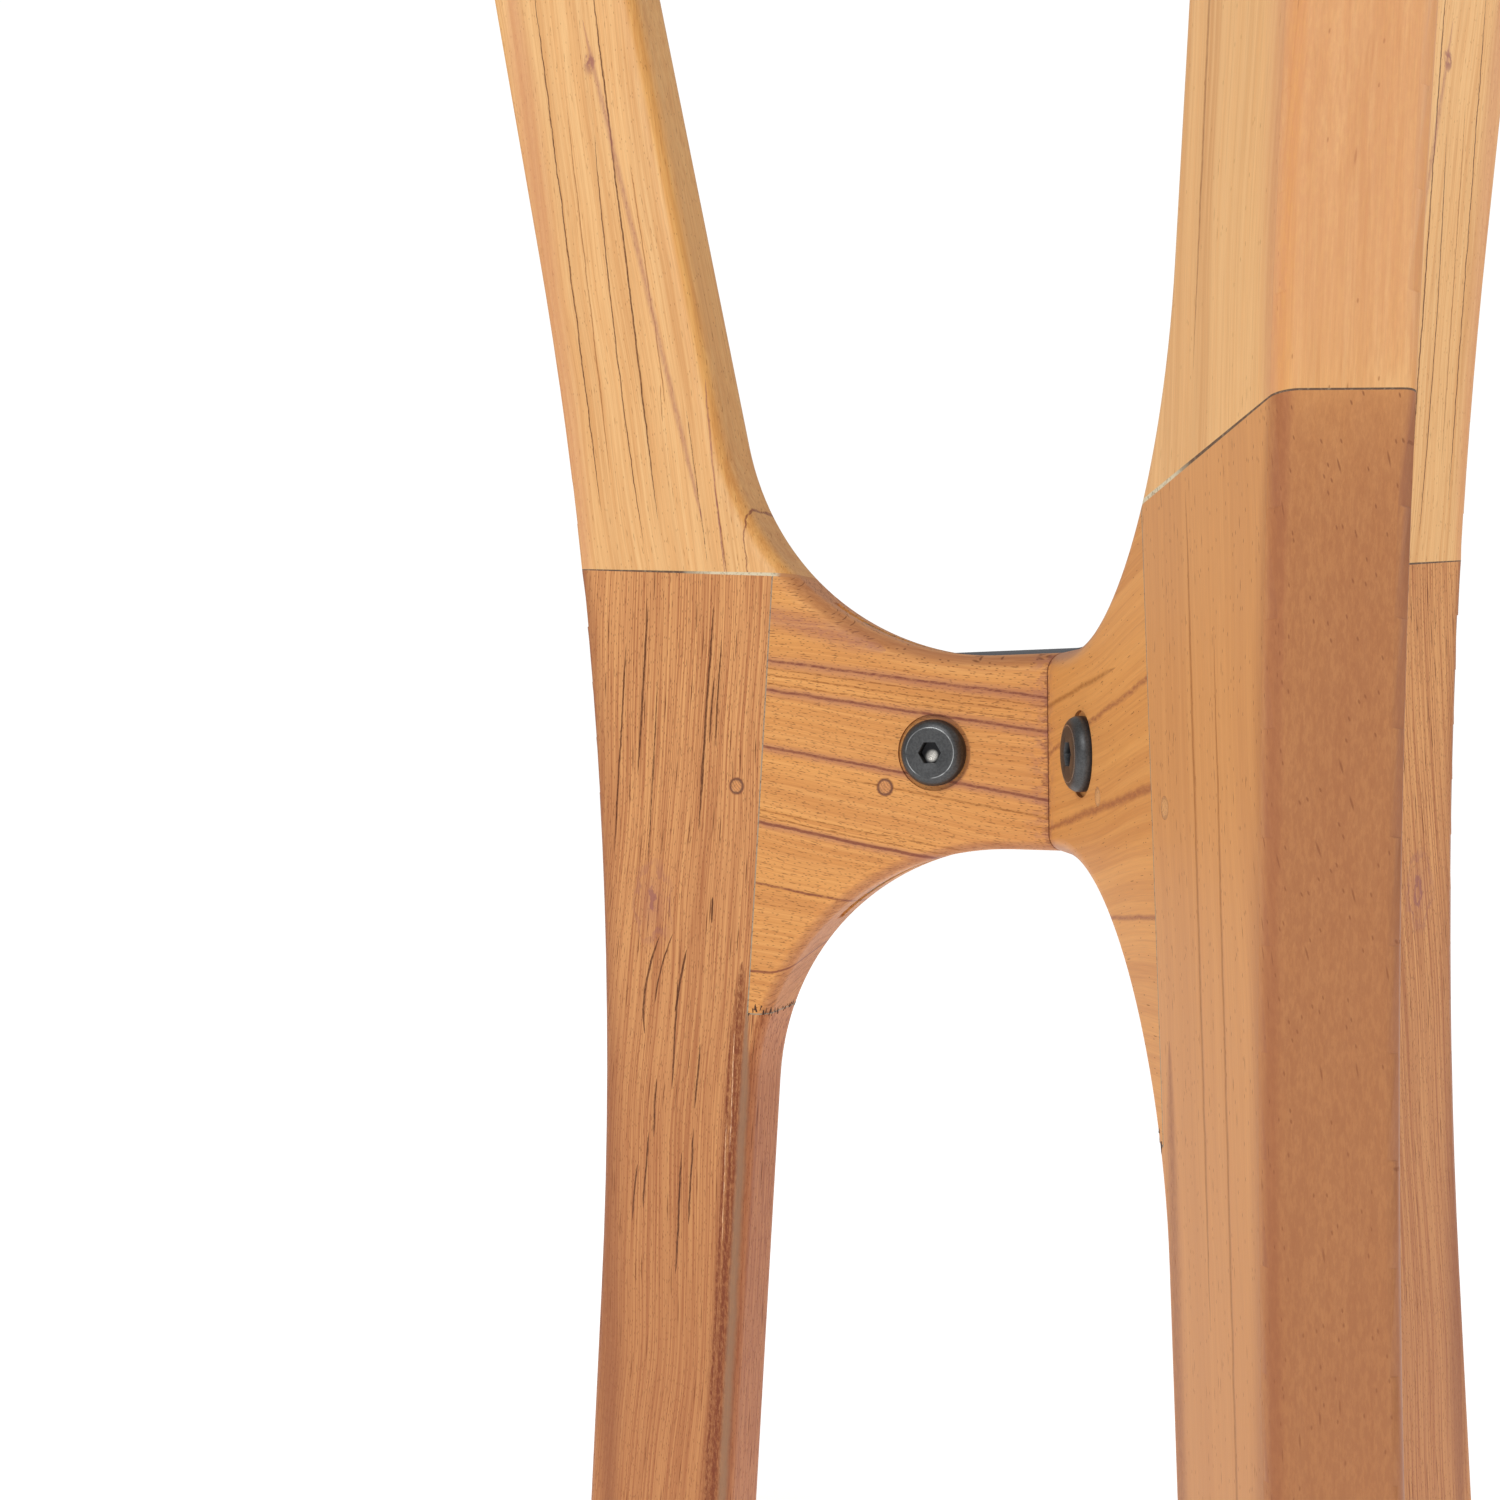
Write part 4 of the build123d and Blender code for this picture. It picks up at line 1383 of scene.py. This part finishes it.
@dataclass
class ConnectorHead:
    """Connector bolt and cap nut, which share one turned head."""

    out: float = 33.8               # from the axis of the base
    top: float = 12.8               # flat face from the middle of the arm
    seat: float = 9.2               # underside of the head from the middle
    head_radius: float = 8.0
    flat_radius: float = 6.0
    rim: float = 1.7
    crown: float = 0.42             # how far the sloping side swells
    side_steps: int = 6             # faces that its curve is made of
    socket: float = 5.0
    socket_depth: float = 2.4
    shank_radius: float = 3.0
    shank_end: float = -4.8
    sleeve_radius: float = 4.0
    sleeve_end: float = -3.8
    bore_end: float = 6.2
    pitch: float = 1.0
    thread_depth: float = 0.35
    bore_depth: float = 0.3         # of the thread in the nut
    edge: float = 0.14              # rounding of the turned edges
    finish: HeadFinish = HeadFinish()

    def read_sizes(self) -> None:
        """Takes the head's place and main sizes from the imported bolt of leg 1."""
        low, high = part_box("connector_bolt_1")
        self.out = -(low.y + high.y) / 2 / MM
        self.top = -low.x / MM
        self.head_radius = (high.z - low.z) / 2 / MM
        self.shank_end = -high.x / MM

    def head_outline(self) -> Outline:
        """Draws the head.

        Returns:
            Its outline, from the middle of its flat face to its seat.
        """
        start, end = Vector((self.flat_radius, self.top)), Vector((self.head_radius, self.seat + self.rim))
        swell = Vector((end.y - start.y, start.x - end.x)).normalized() * -self.crown
        shares = [step / self.side_steps for step in range(self.side_steps + 1)]
        side = [start.lerp(end, share) + swell * (1 - (2 * share - 1) ** 2) for share in shares]
        inner = [(0.0, self.top), (self.flat_radius - 0.5, self.top)]
        return inner + [(point.x, point.y) for point in side] + [(self.head_radius, self.seat)]

    def thread(self, radius: float, start: float, end: float, depth: float) -> Outline:
        """Outline of a thread, as ridges between two heights.

        Args:
            radius: the crest's radius.
            start, end: heights of its ends.
            depth: of the grooves, or less than zero for a thread inside a bore.

        Returns:
            The outline's points.
        """
        turns = int(abs(end - start) / self.pitch)
        way = 1 if end > start else -1
        points = []
        for turn in range(turns):
            level = start + way * turn * self.pitch
            points += [(radius, level), (radius - depth, level + way * self.pitch / 2)]
        return points + [(radius, end)]

    def bolt(self) -> Piece:
        """Models the bolt.

        Returns:
            The bolt, standing on the origin with its head up.
        """
        shank = [(self.shank_radius, self.seat)]
        shank += self.thread(self.shank_radius, self.seat - 3.0, self.shank_end + 0.6, self.thread_depth)
        point = [(self.shank_radius - 0.6, self.shank_end), (0.0, self.shank_end)]
        piece = Bench.turn("connector_bolt_master", self.head_outline() + shank + point)
        Bench.cut(piece, Bench.socket_cutter(self.socket, self.top, self.socket_depth))
        Bench.soften(piece, self.edge)
        return piece

    def nut(self) -> Piece:
        """Models the cap nut.

        Returns:
            The nut, standing on the origin with its head up.
        """
        bore = self.thread(self.shank_radius + 0.05, self.sleeve_end, self.bore_end, -self.bore_depth)
        sleeve = [(self.sleeve_radius, self.seat), (self.sleeve_radius, self.sleeve_end)]
        piece = Bench.turn("cap_nut_master", self.head_outline() + sleeve + bore + [(0.0, self.bore_end)])
        Bench.cut(piece, Bench.socket_cutter(self.socket, self.top, self.socket_depth))
        Bench.soften(piece, self.edge)
        return piece

    def build(self) -> None:
        """Models both once and fits them to each arm."""
        self.read_sizes()
        for name, master, side in (("connector_bolt", self.bolt(), -1), ("cap_nut", self.nut(), 1)):
            for leg, angle in LEG_ANGLES.items():
                turn = Matrix.Rotation(math.radians(angle), 4, "Z")
                out = Matrix.Translation((self.out * MM, 0, BOLT_LEVEL))
                lay = Matrix.Rotation(math.radians(-90 * side), 4, "X")
                place, finish = turn @ out @ lay, self.finish.material(leg, self)
                Bench.fit(master, f"{name}_turned_{leg}", place, finish, "black_oxide_steel", f"{name}_{leg}")
            bpy.data.objects.remove(master)


@dataclass
class TopInsert:
    """Threaded brass insert in each leg top."""

    thread_radius: float = 3.0
    radius: float = 4.5
    flange_radius: float = 6.0
    flange: float = 1.2
    length: float = 13.0
    pitch: float = 1.0
    thread_depth: float = 0.35
    ridge: float = 0.5
    ridges: int = 5
    ridge_pitch: float = 2.0
    edge: float = 0.2
    sides: int = 48

    def outline(self) -> Outline:
        """Draws the insert.

        Returns:
            Its closed outline: bore thread, coarse outer ridges that bite the wood, and flange.
        """
        root, groove = self.radius - self.ridge, self.thread_radius + self.thread_depth
        bore = [(self.thread_radius + 0.5, 0.0)]
        for turn in range(int(self.length / self.pitch) - 1):
            level = -0.6 - turn * self.pitch
            bore += [(self.thread_radius, level), (groove, level - self.pitch / 2)]
        bore += [(self.thread_radius, -self.length), (root, -self.length)]
        ridges = []
        for turn in range(self.ridges):
            level = -self.length + 0.8 + turn * self.ridge_pitch
            ridges += [(root, level), (self.radius, level + self.ridge_pitch / 2)]
        flange = [
            (root, -self.flange), (self.flange_radius, -self.flange), (self.flange_radius, -self.edge),
            (self.flange_radius - self.edge, 0.0),
        ]
        return bore + ridges + flange + [bore[0]]

    def build(self) -> None:
        """Models the insert once and fits it to each leg."""
        master = Bench.turn("top_insert_master", self.outline(), self.sides)
        Bench.soften(master, 0.05)
        for leg in LEG_ANGLES:
            low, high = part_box(f"top_insert_{leg}")
            middle = (low + high) / 2
            place = Matrix.Translation((middle.x, middle.y, high.z))
            node = f"top_insert_{leg}"
            Bench.fit(master, f"top_insert_turned_{leg}", place, BRASS.material(), "insert_brass", node)
        bpy.data.objects.remove(master)


@dataclass
class FootGlide:
    """Nylon glide and its cross-headed screw under each leg."""

    thickness: float = 4.0
    radius: float = 8.5
    edge: float = 0.8
    bore: float = 1.95
    recess: float = 4.2
    recess_depth: float = 2.3
    screw_radius: float = 1.75
    screw_head_radius: float = 3.5
    screw_head: float = 1.6
    screw_length: float = 18.0
    screw_pitch: float = 1.2
    thread_depth: float = 0.45
    screw_sides: int = 32
    drive_length: float = 3.6       # of the cross in the screw's head
    drive_width: float = 0.9
    drive_depth: float = 1.1
    groove: float = 0.25            # ring groove in the sole
    groove_out: float = 1.4         # from the recess

    def glide(self) -> Piece:
        """Models the glide.

        Returns:
            The glide, with its sole at height 0.
        """
        rim = [(self.radius, self.thickness), (self.radius, self.edge)]
        sole = [(self.radius - self.edge * 0.3, self.edge * 0.35), (self.radius - self.edge, 0.0)]
        groove = [
            (self.recess + self.groove_out + step, depth)
            for step, depth in ((0.8, 0.0), (0.6, self.groove), (0.2, self.groove), (0.0, 0.0))
        ]
        middle = [
            (self.recess, 0.0), (self.recess, self.recess_depth), (self.bore, self.recess_depth),
            (self.bore, self.thickness),
        ]
        piece = Bench.turn("foot_glide_master", rim + sole + groove + middle + rim[:1])
        Bench.soften(piece, 0.15)
        return piece

    def screw(self) -> Piece:
        """Models the screw.

        Returns:
            The screw, head down, measured from the sole of the glide.
        """
        face = self.recess_depth - self.screw_head
        wide, core = self.screw_head_radius, self.screw_radius - self.thread_depth
        head = [
            (0.0, face), (wide - 0.9, face), (wide - 0.3, face + 0.25), (wide, face + 0.8),
            (wide, self.recess_depth), (self.screw_radius, self.recess_depth),
        ]
        thread = []
        level = self.recess_depth + 2.5
        while level < self.screw_length - 3.2:
            thread += [(core, level), (self.screw_radius, level + self.screw_pitch / 2)]
            level += self.screw_pitch
        point = [(core, self.screw_length - 2.0), (0.0, self.screw_length)]
        piece = Bench.turn("glide_screw_master", head + thread + point, self.screw_sides)
        flip = Matrix.Rotation(math.pi, 4, "X")
        piece.data.transform(flip)
        Bench.cut(piece, Bench.cross_cutter(self.drive_length, self.drive_width, -face, self.drive_depth))
        piece.data.transform(flip)
        Bench.soften(piece, 0.06)
        return piece

    def build(self) -> None:
        """Models both once and fits them under each leg."""
        for name, master, finish, slot in (
            ("foot_glide", self.glide(), NYLON, "glide_nylon"),
            ("glide_screw", self.screw(), ZINC, "screw_zinc"),
        ):
            for leg in LEG_ANGLES:
                low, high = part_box(f"foot_glide_{leg}")
                middle = (low + high) / 2
                place = Matrix.Translation((middle.x, middle.y, low.z))
                Bench.fit(master, f"{name}_turned_{leg}", place, finish.material(), slot, f"{name}_{leg}")
            bpy.data.objects.remove(master)


@dataclass
class TornTip:
    """Torn fibres where the arm block's tip meets the lower leg."""

    drop: float = 67.0              # tip below the bolt
    arc_out: float = 15.3           # centre of the arm's lower curve
    arc_drop: float = 93.0
    arc_radius: float = 70.0
    rounding: float = 4.0
    half_stock: float = 10.0
    knee_out: float = 85.6
    slivers: int = 34
    kept: float = 0.85              # share of the slivers that stay
    sliver_depth: float = 0.09
    seed: int = 7

    def point(self, share: float, drop: float) -> tuple[Vector, Vector]:
        """A point of the leg's skin near the tip, and the way out of the wood there.

        Args:
            share: 0 at the knee on one face, 1 at the knee on the other.
            drop: below the bolt.

        Returns:
            The point in the leg's frame in mm, and the outward direction.
        """
        rise = self.arc_drop - drop
        out = math.sqrt(self.arc_radius**2 - rise**2)
        inward = Vector((-out, 0, -rise)) / self.arc_radius
        skin = Vector((self.arc_out + out, 0, -drop))
        centre = skin - inward * self.rounding
        bend = math.pi / 2 * self.rounding
        face = max(self.knee_out - centre.x, 0.5)
        flat = 2 * (self.half_stock - self.rounding)
        walk = share * (2 * face + 2 * bend + flat)
        side = 1.0
        if walk > face + bend + flat / 2:
            walk, side = 2 * face + 2 * bend + flat - walk, -1.0
        if walk < face:
            return Vector((self.knee_out - walk, side * self.half_stock, -drop)), Vector((0, side, 0))
        edge = self.half_stock - self.rounding
        if walk < face + bend:
            angle = (walk - face) / self.rounding
            way = Vector((0, side, 0)) * math.cos(angle) + inward * math.sin(angle)
            return centre + Vector((0, side * edge, 0)) + way * self.rounding, way
        return skin + Vector((0, side * (edge - (walk - face - bend)), 0)), inward

    def sliver(self, chance: random.Random, share: float) -> Piece:
        """One dark splinter gap, lying in the skin.

        Args:
            chance: the random source.
            share: where it lies along the torn line, from 0 to 1.

        Returns:
            The sliver.
        """
        drop = self.drop + chance.uniform(-0.7, 1.0)
        long, wide = chance.uniform(0.7, 2.2), chance.uniform(0.16, 0.42)
        place, way = self.point(share, drop)
        ahead, _ = self.point(share, drop - 0.5)
        up = (ahead - place).normalized()
        across = way.cross(up).normalized()
        bpy.ops.object.select_all(action="DESELECT")
        bpy.ops.mesh.primitive_cone_add(vertices=6, radius1=1, radius2=0.15, depth=2, location=(0, 0, 0))
        piece = bpy.context.object
        bpy.ops.object.mode_set(mode="EDIT")
        bpy.ops.mesh.select_all(action="SELECT")
        bpy.ops.mesh.subdivide(number_cuts=1, smoothness=0.4)
        bpy.ops.object.mode_set(mode="OBJECT")
        lean = across * chance.uniform(-0.35, 0.35)
        tip = (up + lean).normalized() * chance.choice((-1, 1))
        shape = Matrix((
            (*(across * wide), 0), (*(way * self.sliver_depth), 0), (*(tip * long / 2), 0), (0, 0, 0, 1),
        )).transposed()
        piece.data.transform(Matrix.Scale(MM, 4) @ Matrix.Translation(place) @ shape)
        return piece

    def build(self) -> None:
        """Models the torn line once and fits it to each leg."""
        chance = random.Random(self.seed)
        pieces = []
        for index in range(self.slivers):
            share = (index + chance.uniform(0.1, 0.9)) / self.slivers
            if chance.random() < self.kept:
                pieces.append(self.sliver(chance, share))
        bpy.ops.object.select_all(action="DESELECT")
        for piece in pieces:
            piece.select_set(True)
        bpy.context.view_layer.objects.active = pieces[0]
        bpy.ops.object.join()
        master = bpy.context.object
        bpy.ops.object.mode_set(mode="EDIT")
        bpy.ops.mesh.select_all(action="SELECT")
        bpy.ops.mesh.normals_make_consistent(inside=False)
        bpy.ops.object.mode_set(mode="OBJECT")
        for leg, angle in LEG_ANGLES.items():
            place = Matrix.Rotation(math.radians(angle), 4, "Z") @ Matrix.Translation((0, 0, BOLT_LEVEL))
            Bench.fit(master, f"arm_tip_fibres_{leg}", place, TORN.material(), "teak_brown")
        bpy.data.objects.remove(master)


def dress(node: str, material: Material) -> None:
    """Gives a CAD node its material.

    Args:
        node: the node's name.
        material: its finish.
    """
    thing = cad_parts[node]
    if not thing.material_slots:
        thing.data.materials.append(material)
    for slot in thing.material_slots:
        slot.material = material
    LOG.info("%s dressed", node)


@dataclass
class Leg:
    """One leg: two boards, its arm, the joints between them and the pins."""

    number: int
    upper: TeakFinish = UPPER_TEAK
    lower: TeakFinish = LOWER_TEAK
    arm: TeakFinish = ARM_TEAK
    pin: PinFinish = PinFinish()
    arm_pin_out: float = 46.5
    leg_pin_out: float = 88.0
    pin_drop: float = 8.4
    pin_radius: float = 2.0

    def dress_boards(self) -> None:
        """Gives the boards and tenons their teak."""
        for name, finish in (
            ("upper_leg", self.upper), ("lower_leg", self.lower), ("arm_block", self.arm),
            ("leg_tenon", TENON_WOOD), ("knee_tenon", TENON_WOOD),
        ):
            dress(f"{name}_{self.number}", finish.material(self.number))

    def dress_joints(self) -> None:
        """Gives filler, glue and pins their finishes."""
        dress(f"joint_filler_{self.number}", FILLER.material(self.number))
        dress(f"knee_glue_{self.number}", GLUE.material(self.number))
        for kind, out in (("arm_pin", self.arm_pin_out), ("leg_pin", self.leg_pin_out)):
            node = f"{kind}_{self.number}"
            name = f"{node}_end_grain"
            dress(node, self.pin.material(name, self.number, out, -self.pin_drop, self.pin_radius))

    def build(self) -> None:
        """Dresses the whole leg."""
        self.dress_boards()
        self.dress_joints()


@dataclass
class Studio:
    """Floor, backdrop, soft lights and the camera."""

    camera_place: tuple[float, float, float] = (-0.0867, -0.3229, -0.2145)
    turn: float = -1.45             # degrees about the vertical
    pitch: float = 89.26
    roll: float = -0.75
    lens: float = 33.26
    film: float = 36.0
    floor_size: float = 6.0
    floor_shade: float = 0.9
    floor_glow: float = 0.6
    sky_light: float = 0.5          # what the surround lights with
    sky_seen: float = 1.05          # what the camera sees of it

    def floor(self) -> None:
        """A pale floor that runs out of sight."""
        bpy.ops.mesh.primitive_plane_add(size=self.floor_size, location=(0, 0, CAD_BOX[0].z))
        ground = bpy.context.object
        ground.name = "studio_floor"
        material, wiring, shader = new_material("studio_floor")
        wiring.fill(
            shader, Base_Color=(self.floor_shade,) * 3, Roughness=0.9, Emission_Color=(1.0, 1.0, 1.0),
            Emission_Strength=self.floor_glow,
        )
        ground.data.materials.append(material)

    def sky(self) -> None:
        """A white surround that is seen brighter than it lights."""
        world = bpy.data.worlds.new("studio")
        bpy.context.scene.world = world
        world.use_nodes = True
        wiring = Wiring(world.node_tree)
        lit = world.node_tree.nodes["Background"]
        wiring.fill(lit, Color=(1.0, 1.0, 1.0), Strength=self.sky_light)
        seen = wiring.node("Background")
        wiring.fill(seen, Color=(1.0, 1.0, 1.0), Strength=self.sky_seen)
        blend = wiring.node("MixShader")
        wiring.feed(blend.inputs[0], wiring.node("LightPath").outputs["Is Camera Ray"])
        wiring.feed(blend.inputs[1], lit.outputs[0])
        wiring.feed(blend.inputs[2], seen.outputs[0])
        wiring.feed(world.node_tree.nodes["World Output"].inputs[0], blend.outputs[0])

    def light(self, name: str, place: tuple, size: float, power: float) -> None:
        """Adds a soft square light aimed at the hub.

        Args:
            name: the light's name.
            place: where it stands, in metres.
            size: its side, in metres.
            power: watts.
        """
        lamp = bpy.data.lights.new(name, "AREA")
        lamp.shape, lamp.size, lamp.energy = "SQUARE", size, power
        holder = bpy.data.objects.new(name, lamp)
        bpy.context.scene.collection.objects.link(holder)
        holder.location = place
        aim = Vector((0, 0, BOLT_LEVEL)) - Vector(place)
        holder.rotation_euler = aim.to_track_quat("-Z", "Y").to_euler()

    def camera(self) -> None:
        """The camera, close to the hub and level with the bolts."""
        made = bpy.data.cameras.new("camera")
        made.lens, made.sensor_width = self.lens, self.film
        made.clip_start = 0.01
        holder = bpy.data.objects.new("camera", made)
        bpy.context.scene.collection.objects.link(holder)
        turn = Matrix.Rotation(math.radians(self.turn), 4, "Z")
        pitch = Matrix.Rotation(math.radians(self.pitch), 4, "X")
        roll = Matrix.Rotation(math.radians(self.roll), 4, "Z")
        holder.matrix_world = Matrix.Translation(self.camera_place) @ turn @ pitch @ roll
        bpy.context.scene.camera = holder

    def build(self) -> None:
        """Builds the studio."""
        bpy.ops.object.select_all(action="DESELECT")
        bpy.context.scene.view_settings.view_transform = "Standard"
        self.floor()
        self.sky()
        self.light("key", (-0.9, -1.1, 0.7), 0.9, 9.0)
        self.light("rim", (1.0, -0.4, 0.4), 0.7, 2.5)
        self.camera()
        LOG.info("studio built")


def main() -> None:
    """Builds the studio, the hub and the legs, and reports each."""
    logging.basicConfig(level=logging.INFO, format="%(name)s: %(message)s")
    Studio().build()
    dress("hub_spider", SPIDER_STEEL.material())
    Leg(1, NEAR_UPPER_TEAK, NEAR_LOWER_TEAK, NEAR_ARM_TEAK, NEAR_PIN).build()
    for number in (2, 3):
        Leg(number).build()
    for fitting in (ConnectorHead(), TopInsert(), FootGlide(), TornTip()):
        fitting.build()


if __name__ == "__main__":
    main()
